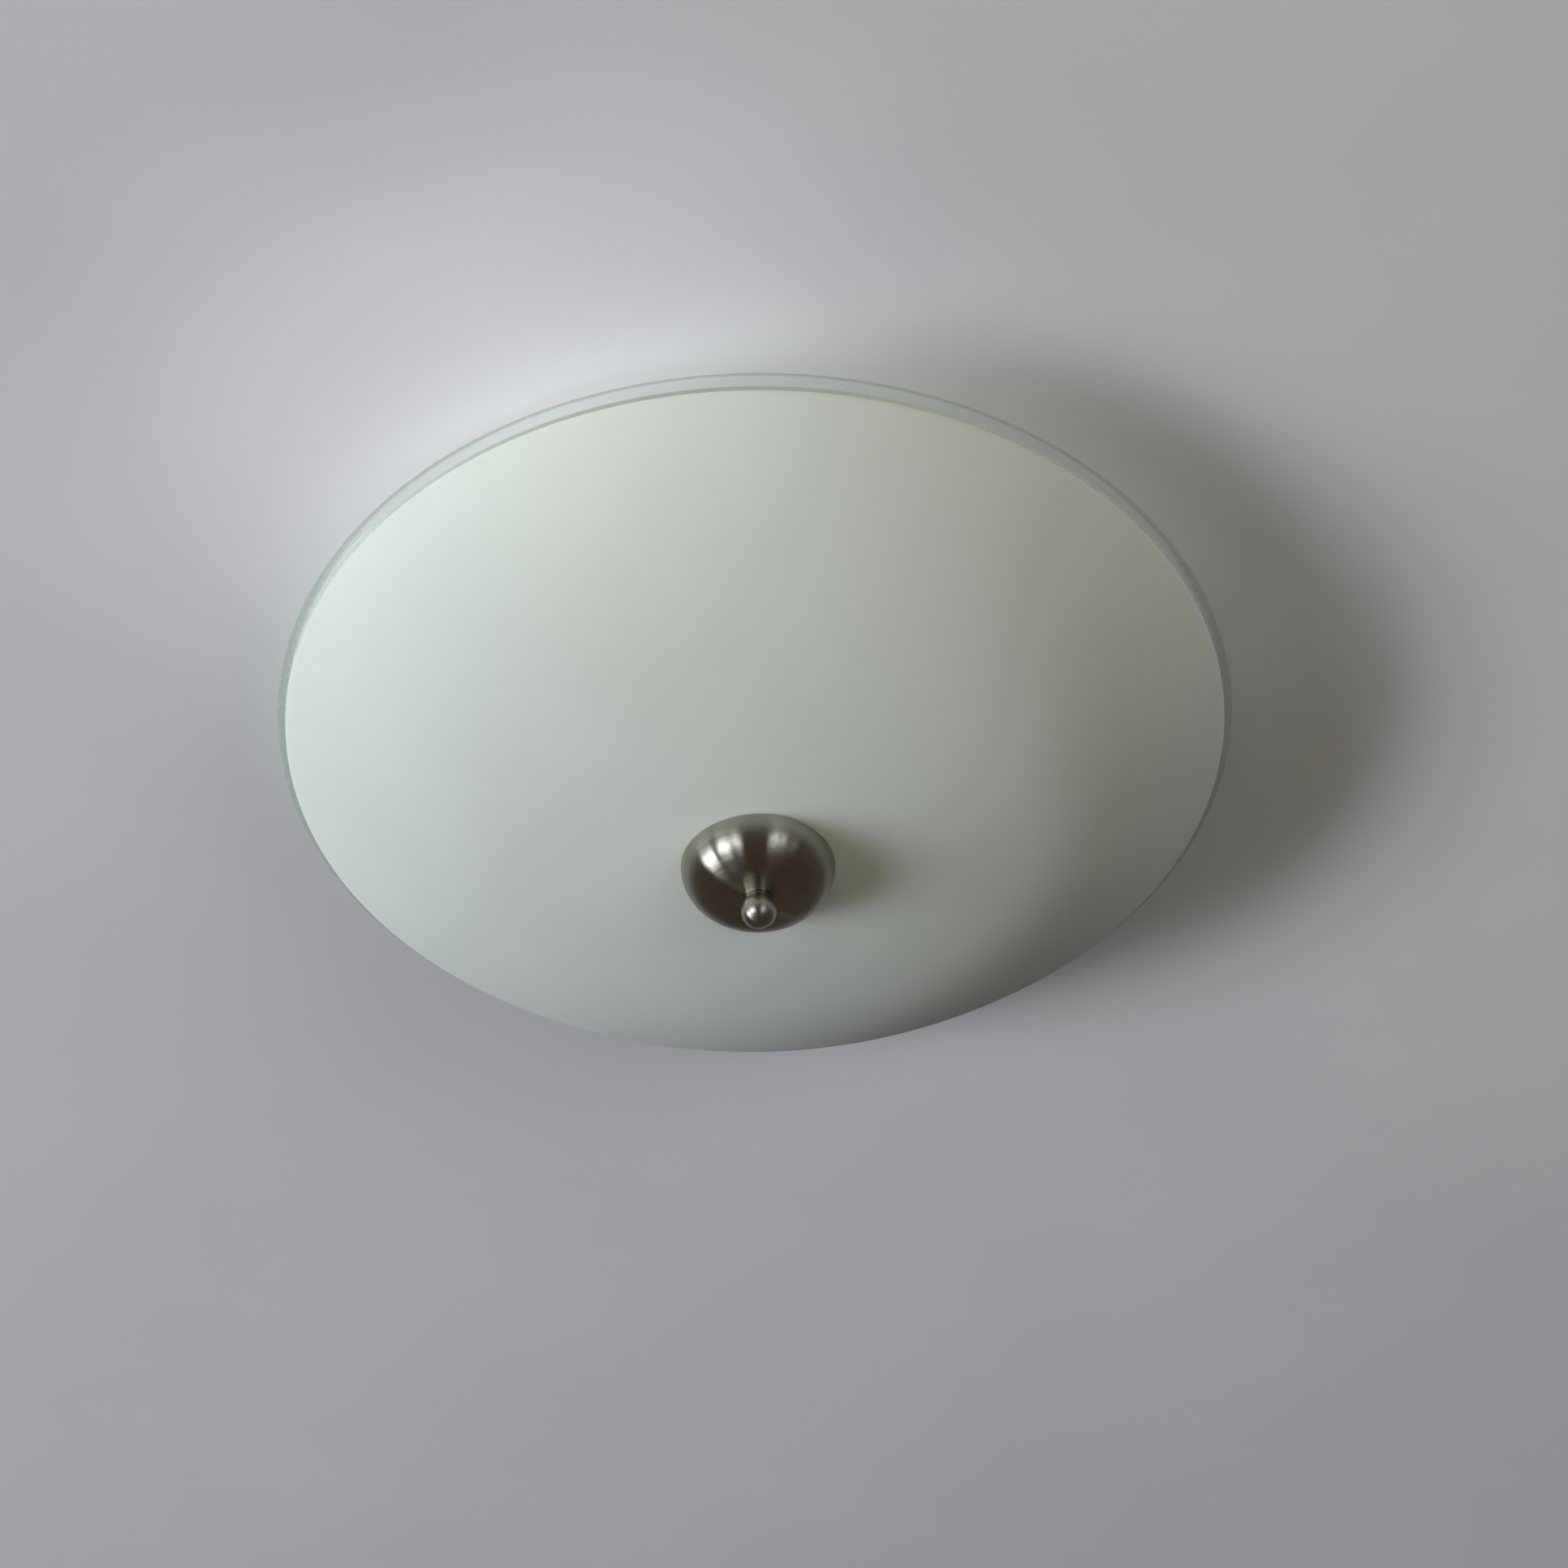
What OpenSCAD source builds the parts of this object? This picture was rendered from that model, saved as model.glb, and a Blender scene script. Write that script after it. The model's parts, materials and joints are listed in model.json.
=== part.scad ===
// Flush ceiling light: a slumped glass bowl hangs on a central threaded rod below a pressed steel pan.
// A dished metal cap and a ball knob, screwed on the rod's end, hold the bowl from below.
// Two lampholders stand back to back on a bent bracket under the pan, with a lamp in each.
// The origin is the middle of the face that touches the ceiling, and +Z points up into the ceiling.

/* [Glass bowl] */
// Outer diameter of the bowl
bowl_d = 400; // [390:1:440]
// Depth of the outer surface below the middle of the rim
bowl_depth = 69.3; // [68:0.1:80]
// Radius of the arc that forms the shallow middle of the outer surface
bowl_centre_radius = 423; // [400:1:480]
// Distance from the axis at which the shallow middle turns into the steeper shoulder
bowl_turn_at = 108; // [98:1:116]
// Thickness of the glass
glass_t = 5; // [4:0.1:6]
// Distance from the ceiling to the middle of the bowl's rim
rim_gap = 30; // [29:0.5:40]
// Diameter of the hole in the middle of the glass
glass_hole_d = 11; // [10.8:0.1:14]

/* [Cap and knob] */
// Diameter of the dished cap at its rim
cap_d = 62.9; // [56:0.1:70]
// Height of the cap from its rim to its lowest point
cap_h = 18.3; // [16:0.1:21]
// Height that the shallow crown adds below the rounded side
cap_crown_rise = 0.5; // [0.3:0.1:3]
// Gap between the glass and the cap's rim, which the felt ring bridges
cap_stand = 0.5; // [0.3:0.1:0.8]
// Thickness of the cap's sheet
cap_t = 0.8; // [0.6:0.1:1.2]
// Diameter of the ball of the knob
ball_d = 14.6; // [14:0.1:17]
// Diameter of the neck between the ball and the cap
neck_d = 12; // [11:0.1:13]
// Distance from the cap's lowest point to the middle of the ball
ball_drop = 5.7; // [5.2:0.1:6.6]
// Length of rod inside the knob, which is also the way that the knob unscrews
knob_thread = 10; // [8:0.5:10]
// Width of the felt ring inside the cap's rim
felt_w = 3; // [2:0.1:4]
// Height of the felt ring
felt_h = 3; // [2:0.1:4]

/* [Rod and clamping] */
// Diameter of the threaded rod
rod_d = 8; // [7.6:0.1:8]
// Distance from the ceiling to the top end of the rod
rod_top_gap = 3; // [2:0.5:4]
// Width across the flats of the nuts on the rod
nut_af = 13; // [12:0.5:14]
// Height of the nuts on the rod
nut_h = 4; // [3.5:0.1:4.5]
// Diameter of the stop washer above the glass
stop_d = 40; // [34:1:50]
// Thickness of the stop washer
stop_t = 1.5; // [1:0.1:2]
// Diameter of the rubber seat between the stop washer and the glass
seat_d = 34; // [26:1:40]
// Thickness of the rubber seat at the axis
seat_t = 2; // [1.5:0.1:3]
// Height of the seat's collar inside the hole in the glass
collar_h = 3.6; // [2:0.1:3.8]

/* [Ceiling pan] */
// Diameter of the pan
pan_d = 240; // [236:1:260]
// Height of the turned-down edge
pan_h = 12; // [11:0.5:12.5]
// Thickness of the sheet
pan_t = 1; // [0.8:0.1:1.2]
// Outer radius of the rounded corner between the face and the edge
pan_corner = 6; // [4:0.5:8]
// Radius of the rolled hem along the edge
hem_r = 1.1; // [0.8:0.1:1.4]
// Depth of the recess in the middle
recess_depth = 9; // [8.5:0.5:10]
// Diameter of the recess at its floor
recess_floor_d = 36; // [36:0.5:40]
// Diameter of the recess at the pan's face
recess_mouth_d = 50; // [48:1:56]
// Distance of the pressed stiffening bead from the axis
bead_at = 97; // [96:0.5:100]
// Outer radius of the bead
bead_r = 4; // [3:0.5:4]
// Distance between the middles of the ceiling screw slots, both ways
slot_spacing = 110; // [106:1:114]
// Length of a slot
slot_len = 20; // [14:1:22]
// Width of a slot
slot_w = 5.4; // [4.5:0.1:6]

/* [Cable entry] */
// Distance from the axis to the cable entry
entry_y = 78; // [77:0.5:80]
// Diameter of the hole in the pan for the grommet
entry_hole_d = 16; // [14:0.5:17]
// Bore of the grommet
grommet_bore_d = 10; // [8:0.5:11]
// Width of the grommet's flange
grommet_flange = 2.5; // [1.5:0.1:3]
// Height of the grommet
grommet_h = 3.6; // [3:0.1:3.8]

/* [Lamp bracket] */
// Width of the bracket's strip
bracket_w = 22; // [21:0.5:24]
// Thickness of the strip
bracket_t = 1.5; // [1.2:0.1:2]
// Distance from the axis to the outer face of each ear
ear_at = 25.5; // [25:0.5:28]
// Inner radius of the two bends
bend_r = 2; // [1.5:0.1:3]
// Distance from the ceiling to the axis of the lamps
lamp_drop = 40; // [39:0.5:41]
// Distance from the axis to the two screws that hold the bracket
bracket_screw_at = 13; // [12.6:0.1:13.5]

/* [Lampholders] */
// Diameter of the lampholder
holder_d = 39; // [38:0.5:41]
// Length of the domed back part
dome_len = 14; // [13.5:0.5:15]
// Radius of the dome's rounded edge
dome_round = 10.5; // [9:0.5:12]
// Length of the straight skirt
skirt_len = 37; // [36.5:0.5:38]
// Wall of the dome and the skirt
holder_wall = 2.2; // [1.8:0.1:2.4]
// Number of grip flutes around the skirt
flute_count = 20; // [12:1:24]
// Radius of a flute
flute_r = 1.2; // [0.8:0.1:1.6]
// Outer diameter of the hollow screwed nipple
nipple_d = 10; // [9.6:0.1:10]
// Bore of the nipple
nipple_bore_d = 7.6; // [7.2:0.1:8]
// Width across the flats of the nipple's nut
nipple_nut_af = 14; // [13:0.5:15]
// Height of the nipple's nut
nipple_nut_h = 3; // [2.5:0.1:3.5]
// Thickness of the insulating core
core_t = 7; // [6.5:0.1:7.5]
// Inner diameter of the screw shell at its crests
shell_bore_d = 26.8; // [26.6:0.1:27.2]
// Thickness of the screw shell
shell_t = 0.4; // [0.3:0.05:0.5]
// Distance between the rolled threads, on the shell and on the lamp
thread_pitch = 3.629; // [3.6:0.001:3.66]

/* [Lamps] */
// Diameter of the lamp's bulb
bulb_d = 45; // [43:0.5:47]
// Distance from the lamp's shell to the middle of the bulb
bulb_reach = 27.5; // [26:0.5:28]
// Diameter of the lamp's screw shell at its crests
lamp_shell_d = 26.2; // [25.8:0.1:26.3]
// Length of the lamp's screw shell
lamp_shell_len = 22; // [20:0.5:23]
// Length of the black insulator and the contact button
lamp_foot_len = 3.6; // [3:0.1:4]
// Thickness of the bulb's wall
bulb_t = 1; // [0.8:0.1:1.2]

/* [Terminal block] */
// Distance between the poles
pole_pitch = 12; // [11.6:0.1:12.6]
// Width of one pole
pole_w = 8.4; // [8:0.1:9]
// Length of the block along the wires
block_len = 17; // [16:0.5:18]
// Height of the block
block_h = 13; // [12.5:0.1:14]
// Distance from the axis to the lamp side of the block
block_at = 40; // [39.5:0.5:41]
// Diameter of the supply side's wire holes
supply_hole_d = 4; // [3.6:0.1:4.2]
// Diameter of the lamp side's wire holes, which take two leads each
lamp_hole_d = 5.2; // [5.1:0.1:5.4]
// Depth of the wire holes
wire_hole_depth = 7; // [6.5:0.1:7.4]
// Outer diameter of the brass inserts
insert_d = 6.6; // [6.4:0.1:6.8]
// Diameter of the clamping screws
clamp_screw_d = 3.4; // [3:0.1:3.6]

/* [Leads] */
// Diameter of a lead over its insulation
lead_d = 2.2; // [1.8:0.1:2.3]

/* [Hidden] */

$fn = 96;
arc_fn = 720;
// Clearance between a thread and its nut, of a free hole round a rod, and between loosely fitted parts
thread_clear = 0.05;
hole_clear = 0.3;
fit_clear = 0.15;
// Gap between the glass and the soft rings on it
soft_gap = 0.1;
// Room past the end of the rod in the knob, and of a screw below the ceiling
end_room = 0.3;
// Overlap of a cutting shape past the faces it cuts
past = 1;

rod_r = rod_d / 2;
rim_z = -rim_gap;
centre_arc_z = rim_z - bowl_depth + bowl_centre_radius;
turn_angle = asin(bowl_turn_at / bowl_centre_radius);
turn_normal = [-sin(turn_angle), cos(turn_angle)];
turn_point = [0, centre_arc_z] - bowl_centre_radius * turn_normal;
rim_mid = [bowl_d / 2 - glass_t / 2, rim_z];
turn_to_rim = turn_point - rim_mid;
// Radius of the shoulder arc that leaves the middle smoothly and ends at the rim
shoulder_radius = (glass_t * glass_t / 4 - turn_to_rim * turn_to_rim)
    / (2 * (turn_normal * turn_to_rim) + glass_t);
shoulder_centre = turn_point + shoulder_radius * turn_normal;
rim_angle = atan2(rim_mid[0] - shoulder_centre[0], shoulder_centre[1] - rim_mid[1]);
glass_top_z = rim_z - bowl_depth + glass_t;

// The cap's side is an arc centred level with the rim, and the crown runs out of it smoothly
cap_rim_z = centre_arc_z - arc_rise(bowl_centre_radius, cap_d / 2) - cap_stand;
cap_tip_z = cap_rim_z - cap_h;
cap_side_radius = cap_h - cap_crown_rise;
cap_side_at = cap_d / 2 - cap_side_radius;
crown_radius = (cap_side_at * cap_side_at + cap_h * cap_h - cap_side_radius * cap_side_radius)
    / (2 * cap_crown_rise);
crown_z = cap_tip_z + crown_radius;
crown_angle = asin(cap_side_at / (crown_radius - cap_side_radius));
ball_z = cap_tip_z - ball_drop;
rod_bottom_z = cap_tip_z - knob_thread;

pan_floor_z = -recess_depth - pan_t;
bracket_z = pan_floor_z - bracket_t;
lock_washer_t = 1;
lock_washer_d = 15;
lock_tooth_w = 1.6;
lock_tooth_count = 8;
seat_top_z = glass_top_z + seat_t;
collar_r = glass_hole_d / 2 - fit_clear;
seat_steps = 8;

// Machine screw sizes: shank radius, head radius and head height
m4_r = 2;
m4_head_r = 3.6;
m4_head_h = 2.6;
block_screw_r = 1.25;
block_head_r = 2;
block_head_h = 1.6;
driver_slot_w = 0.8;
driver_slot_depth = 0.9;
bracket_screw_rise = 2.5;
earth_at = 15;
tag_t = 0.8;
tag_r = 3.4;
barrel_r = 1.9;
barrel_len = 6;

// Places along a lamp's axis, counted from the outer face of the bracket's ear
nipple_inside = 9;
nipple_outside = 7;
boss_r = 8;
boss_len = 8;
core_at = dome_len;
ledge_w = 1.4;
ledge_t = 1.5;
core_r = holder_d / 2 - holder_wall - fit_clear;
core_end = core_at + core_t;
shell_rim = 2;
shell_len = 25;
contact_w = 5;
contact_t = 0.4;
contact_foot = 9;
contact_bend = 4.5;
contact_rise = 3;
contact_end = [2.5, 1.8];
contact_tip_gap = 0.3;
core_hole_at = 5;
core_hole_r = 1.4;
core_hole_depth = 3;
shell_outer_r = shell_bore_d / 2 + shell_t;
lamp_at = core_end + contact_rise + contact_t + contact_tip_gap;
lamp_shell_at = lamp_at + lamp_foot_len;
lamp_shell_end = lamp_shell_at + lamp_shell_len;
thread_depth = 0.7;
thread_groove_r = 1.3;
lamp_wall = 0.5;
lamp_neck_r = lamp_shell_d / 2 - lamp_wall - hole_clear;
lamp_neck_in = 3;
button_r = 4.5;
button_h = 1.2;
bulb_at = lamp_shell_end + bulb_reach;

// The terminal block hangs under the pan's face, and its web carries the fixing screw
web_h = 6;
web_inset = 2;
block_corner = 1.2;
block_end_t = 1.2;
wire_z = -pan_t - 6;
clamp_sink = 0.8;
clamp_inset = 4.2;
clamp_y = [block_at + clamp_inset, block_at + block_len - clamp_inset];

// Half the distance between two leads that run side by side, and where they turn
lead_gap = 1.25;
nipple_in = ear_at - nipple_inside;
nipple_out = ear_at + nipple_outside;
core_x = ear_at + core_at;
barrel_y = earth_at + tag_r + 0.8;
barrel_z = pan_floor_z - barrel_r - 0.4;

// Routes of the leads: out of the terminal block, and through a nipple to the core of a holder
function from_block(x) = [[x, block_at + wire_hole_depth - 1, wire_z], [x, block_at - 2, wire_z]];
function to_holder(side, turn) = [
    [side * (nipple_in - 0.5), 1.8, -lamp_drop + turn * lead_gap + 0.35],
    [side * (nipple_in + 5.5), 0.1, -lamp_drop + turn * lead_gap],
    [side * (nipple_out - 4), turn * 0.1, -lamp_drop + turn * lead_gap],
    [side * (nipple_out + 1), turn * 1.5, -lamp_drop + turn * lead_gap * 0.9],
    [side * (nipple_out + 4), turn * 3.6, -lamp_drop + turn * lead_gap * 0.4],
    [side * core_x, turn * core_hole_at, -lamp_drop],
    [side * (core_x + core_hole_depth - 0.5), turn * core_hole_at, -lamp_drop]];
route_live_right = concat(from_block(lead_gap - pole_pitch),
    [[-8.5, 30, -10], [-3, 21.5, -17.5], [3.5, 13.5, -26.5], [8.5, 7, -33]], to_holder(1, 1));
route_neutral_right = concat(from_block(pole_pitch + lead_gap),
    [[13, 29.5, -10.5], [13, 20.5, -19], [12.5, 12.5, -29.5], [12.5, 6, -37.5]], to_holder(1, -1));
route_live_left = concat(from_block(-pole_pitch - lead_gap),
    [[-13, 29.5, -10.5], [-12.5, 21, -18], [-11, 13, -27], [-11, 6, -34.5]], to_holder(-1, 1));
route_neutral_left = concat(from_block(pole_pitch - lead_gap),
    [[7.5, 30.5, -12], [1.5, 22.5, -21], [-4.5, 14, -31.5], [-10, 6, -39.5]], to_holder(-1, -1));
route_earth = [[0, block_at + wire_hole_depth - 1, wire_z], [0, block_at - 2, wire_z],
    [0, block_at - 7, wire_z - 2], [0, barrel_y + barrel_len + 3, barrel_z + 0.6],
    [0, barrel_y + barrel_len - 1, barrel_z], [0, barrel_y + 2.4, barrel_z]];
route_steps = 3;
lead_sides = 8;

// Height of an arc's edge below its centre at a distance r from the axis
function arc_rise(arc_r, r) = sqrt(arc_r * arc_r - r * r);
// One point of a Catmull-Rom curve between p1 and p2
function curve_point(p0, p1, p2, p3, t) =
    0.5 * (2 * p1 + (p2 - p0) * t + (2 * p0 - 5 * p1 + 4 * p2 - p3) * t * t
    + (3 * p1 - p0 - 3 * p2 + p3) * t * t * t);
function route_at(p, i) = p[max(0, min(len(p) - 1, i))];
function smooth_route(p) = concat(
    [for (i = [0:len(p) - 2]) for (k = [0:route_steps - 1])
        curve_point(route_at(p, i - 1), p[i], p[i + 1], route_at(p, i + 2), k / route_steps)],
    [p[len(p) - 1]]);
function unit(v) = v / norm(v);
function along(q, i) = unit(route_at(q, i + 1) - route_at(q, i - 1));
// Sideways directions carried along the route, each turned as little as its step needs
function carried(v, t) = unit(v - (v * t) * t);
function side_vectors(q) =
    [for (i = 0, s = carried([0, 0.3, 1], along(q, 0)); i < len(q); i = i + 1,
        s = carried(s, along(q, min(i, len(q) - 1)))) s];

// Round lead along a route, with a flat face at each end
module lead(route) {
    q = smooth_route(route);
    side = side_vectors(q);
    rings = [for (i = [0:len(q) - 1]) for (k = [0:lead_sides - 1])
        let (a = 360 * k / lead_sides)
        q[i] + lead_d / 2 * (cos(a) * side[i] + sin(a) * cross(along(q, i), side[i]))];
    last = (len(q) - 1) * lead_sides;
    walls = [for (i = [0:len(q) - 2]) for (k = [0:lead_sides - 1])
        let (a = i * lead_sides + k)
        let (b = i * lead_sides + (k + 1) % lead_sides)
        [a, a + lead_sides, b + lead_sides, b]];
    ends = [[for (k = [0:lead_sides - 1]) k], [for (k = [lead_sides - 1:-1:0]) last + k]];
    polyhedron(rings, concat(walls, ends), convexity = 6);
}

// Everything above the bowl's outer surface, moved in by inset, as a half section
module bowl_fill(inset) {
    far = 2 * bowl_centre_radius;
    intersection() {
        union() {
            translate(shoulder_centre)
                circle(r = shoulder_radius - inset, $fn = arc_fn);
            intersection() {
                translate([0, centre_arc_z])
                    circle(r = bowl_centre_radius - inset, $fn = arc_fn);
                polygon([[0, centre_arc_z], [0, centre_arc_z - far],
                    [far * tan(turn_angle), centre_arc_z - far]]);
            }
        }
        translate([0, centre_arc_z - far])
            square(2 * far);
    }
}

// Half section of the glass, cut square to its surface at the rim, with a rounded edge
module glass_section() {
    reach = 1.2 * shoulder_radius;
    low = rim_z - 2 * bowl_depth;
    rim_end = shoulder_centre + reach * [sin(rim_angle), -cos(rim_angle)];
    intersection() {
        difference() {
            bowl_fill(0);
            bowl_fill(glass_t);
        }
        polygon([shoulder_centre, rim_end, [rim_end[0], low], [0, low], [0, shoulder_centre[1]]]);
    }
    translate(rim_mid)
        circle(d = glass_t);
}

module glass_bowl() {
    color([0.78, 0.82, 0.79])
        rotate_extrude($fn = 180)
            difference() {
                glass_section();
                translate([0, rim_z - 2 * bowl_depth])
                    square([glass_hole_d / 2, 2 * bowl_depth]);
            }
}

// Rubber seat that lies on the inside of the glass, with a collar in the hole
module bowl_seat() {
    bore_r = rod_r + hole_clear;
    seat_r = seat_d / 2;
    touch_r = bowl_centre_radius - glass_t - soft_gap;
    color([0.16, 0.16, 0.17])
        rotate_extrude()
            polygon(concat([[bore_r, seat_top_z], [bore_r, glass_top_z - collar_h],
                [collar_r, glass_top_z - collar_h]],
                [for (i = [0:seat_steps])
                    let (r = collar_r + (seat_r - collar_r) * i / seat_steps)
                    [r, centre_arc_z - arc_rise(touch_r, r)]],
                [[seat_r, seat_top_z]]));
}

module washer(outer_r, hole_r, thickness) {
    difference() {
        cylinder(r = outer_r, h = thickness);
        translate([0, 0, -past])
            cylinder(r = hole_r, h = thickness + 2 * past);
    }
}

module stop_washer() {
    color([0.7, 0.7, 0.72])
        translate([0, 0, seat_top_z])
            washer(stop_d / 2, rod_r + hole_clear, stop_t);
}

// Hexagon nut with its corners turned off on both faces
module hex_nut(af, height, bore_r) {
    corner_r = af / 2 / cos(30);
    chamfer = (corner_r - af / 2) * 0.6;
    difference() {
        intersection() {
            cylinder(r = corner_r, h = height, $fn = 6);
            rotate_extrude()
                polygon([[0, 0], [af / 2, 0], [corner_r, chamfer], [corner_r, height - chamfer],
                    [af / 2, height], [0, height]]);
        }
        translate([0, 0, -past])
            cylinder(r = bore_r, h = height + 2 * past);
    }
}

module rod_nut(z) {
    color([0.72, 0.72, 0.7])
        translate([0, 0, z])
            hex_nut(nut_af, nut_h, rod_r + thread_clear);
}

module stop_nut() {
    rod_nut(seat_top_z + stop_t);
}

module rod_top_nut() {
    rod_nut(-recess_depth);
}

module rod_bottom_nut() {
    rod_nut(bracket_z - lock_washer_t - nut_h);
}

// Washer with teeth cut round its edge, which bite into the bracket
module rod_lock_washer() {
    color([0.6, 0.6, 0.6])
        translate([0, 0, bracket_z - lock_washer_t])
            difference() {
                washer(lock_washer_d / 2, rod_r + hole_clear, lock_washer_t);
                for (k = [0:lock_tooth_count - 1])
                    rotate([0, 0, 360 * k / lock_tooth_count])
                        translate([lock_washer_d / 2 - lock_tooth_w, -lock_tooth_w / 2, -past])
                            cube([2 * lock_tooth_w, lock_tooth_w, lock_washer_t + 2 * past]);
            }
}

module centre_rod() {
    tip = 0.6;
    color([0.72, 0.72, 0.7])
        rotate_extrude()
            polygon([[0, rod_bottom_z], [rod_r - tip, rod_bottom_z], [rod_r, rod_bottom_z + tip],
                [rod_r, -rod_top_gap - tip], [rod_r - tip, -rod_top_gap], [0, -rod_top_gap]]);
}

// Filled half section of the cap, moved in by inset
module cap_fill(inset) {
    far = 2 * crown_radius;
    intersection() {
        union() {
            translate([cap_side_at, cap_rim_z])
                circle(r = cap_side_radius - inset, $fn = arc_fn);
            intersection() {
                translate([0, crown_z])
                    circle(r = crown_radius - inset, $fn = arc_fn);
                polygon([[0, crown_z], [0, crown_z - far], [far * tan(crown_angle), crown_z - far]]);
            }
        }
        translate([0, cap_rim_z - cap_d])
            square(cap_d);
    }
}

module glass_cap() {
    color([0.62, 0.6, 0.56])
        rotate_extrude($fn = 128)
            difference() {
                cap_fill(0);
                cap_fill(cap_t);
                translate([0, cap_tip_z - past])
                    square([rod_r + hole_clear, 3 * past]);
            }
}

// Felt ring inside the cap's rim, shaped to the outside of the glass
module cap_felt_ring() {
    outer_r = cap_side_at + arc_rise(cap_side_radius - cap_t, felt_h) - fit_clear;
    inner_r = outer_r - felt_w;
    touch_r = bowl_centre_radius + soft_gap;
    color([0.85, 0.85, 0.82])
        rotate_extrude()
            polygon([[inner_r, cap_rim_z - felt_h], [outer_r, cap_rim_z - felt_h],
                [outer_r, centre_arc_z - arc_rise(touch_r, outer_r)],
                [inner_r, centre_arc_z - arc_rise(touch_r, inner_r)]]);
}

// Ball with a short neck and a blind threaded hole for the rod
module ball_knob() {
    top_z = cap_tip_z - thread_clear;
    color([0.62, 0.6, 0.56])
        rotate_extrude()
            difference() {
                intersection() {
                    union() {
                        translate([0, ball_z])
                            circle(d = ball_d);
                        translate([0, ball_z])
                            square([neck_d / 2, top_z - ball_z]);
                    }
                    translate([0, top_z - 2 * ball_d])
                        square([ball_d, 2 * ball_d]);
                }
                translate([0, rod_bottom_z - end_room])
                    square([rod_r + thread_clear, ball_d]);
            }
}

// Half section of the pan: recess, face with its bead, rounded corner, edge and hem
module pan_section() {
    floor_r = recess_floor_d / 2;
    mouth_r = recess_mouth_d / 2;
    pan_r = pan_d / 2;
    bead_in = bead_r - pan_t;
    translate([0, pan_floor_z])
        square([floor_r, pan_t]);
    polygon([[floor_r - pan_t, pan_floor_z], [floor_r, pan_floor_z], [mouth_r + pan_t, -pan_t],
        [mouth_r + pan_t, 0], [mouth_r, 0], [floor_r - pan_t, -recess_depth]]);
    difference() {
        translate([mouth_r, -pan_t])
            square([pan_r - pan_corner - mouth_r, pan_t]);
        translate([bead_at - bead_in, -pan_t - past])
            square([2 * bead_in, pan_t + 2 * past]);
    }
    intersection() {
        translate([bead_at, 0])
            difference() {
                circle(r = bead_r);
                circle(r = bead_in);
            }
        translate([bead_at - bead_r, -bead_r])
            square([2 * bead_r, bead_r]);
    }
    intersection() {
        translate([pan_r - pan_corner, -pan_corner])
            difference() {
                circle(r = pan_corner);
                circle(r = pan_corner - pan_t);
            }
        translate([pan_r - pan_corner, -pan_corner])
            square(pan_corner);
    }
    translate([pan_r - pan_t, -pan_h])
        square([pan_t, pan_h - pan_corner]);
    translate([pan_r - hem_r, -pan_h])
        circle(r = hem_r, $fn = 32);
}

// Hole through the pan's sheet at a place given as [x, y]
module pan_hole(at, r, z) {
    translate([at[0], at[1], z - past])
        cylinder(r = r, h = pan_t + 2 * past);
}

module ceiling_slot() {
    half = (slot_len - slot_w) / 2;
    translate([0, 0, -pan_t - past])
        linear_extrude(pan_t + 2 * past) {
            square([2 * half, slot_w], center = true);
            for (s = [-1, 1])
                translate([s * half, 0])
                    circle(d = slot_w, $fn = 48);
        }
}

module ceiling_pan() {
    color([0.93, 0.93, 0.92])
        difference() {
            rotate_extrude($fn = 180)
                pan_section();
            pan_hole([0, 0], rod_r + hole_clear, pan_floor_z);
            for (s = [-1, 1])
                pan_hole([s * bracket_screw_at, 0], m4_r + thread_clear, pan_floor_z);
            pan_hole([0, earth_at], m4_r + thread_clear, pan_floor_z);
            pan_hole([pole_pitch / 2, block_at + block_len / 2], block_screw_r + thread_clear, -pan_t);
            pan_hole([0, entry_y], entry_hole_d / 2, -pan_t);
            for (x = [-1, 1])
                for (y = [-1, 1])
                    translate([x * slot_spacing / 2, y * slot_spacing / 2, 0])
                        ceiling_slot();
        }
}

// Rubber grommet: a neck in the pan's hole and a flange below the sheet
module cable_grommet() {
    neck_r = entry_hole_d / 2 - thread_clear;
    flange_t = 1.5;
    color([0.15, 0.15, 0.15])
        translate([0, entry_y, 0])
            rotate_extrude($fn = 64)
                difference() {
                    union() {
                        translate([0, -grommet_h])
                            square([neck_r, grommet_h - end_room]);
                        translate([0, -pan_t - flange_t])
                            square([neck_r + grommet_flange, flange_t]);
                    }
                    translate([0, -grommet_h - past])
                        square([grommet_bore_d / 2, grommet_h + 2 * past]);
                }
}

// Outline of the bent strip in the plane across its width
module bracket_profile() {
    outer = bend_r + bracket_t;
    drop = lamp_drop + bracket_w / 2 + pan_floor_z;
    for (s = [0, 1])
        mirror([s, 0]) {
            translate([0, bracket_z])
                square([ear_at - outer, bracket_t]);
            translate([ear_at - bracket_t, pan_floor_z - drop])
                square([bracket_t, drop - outer]);
            translate([ear_at - outer, pan_floor_z - outer])
                intersection() {
                    difference() {
                        circle(r = outer, $fn = 48);
                        circle(r = bend_r, $fn = 48);
                    }
                    square(outer);
                }
        }
}

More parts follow.
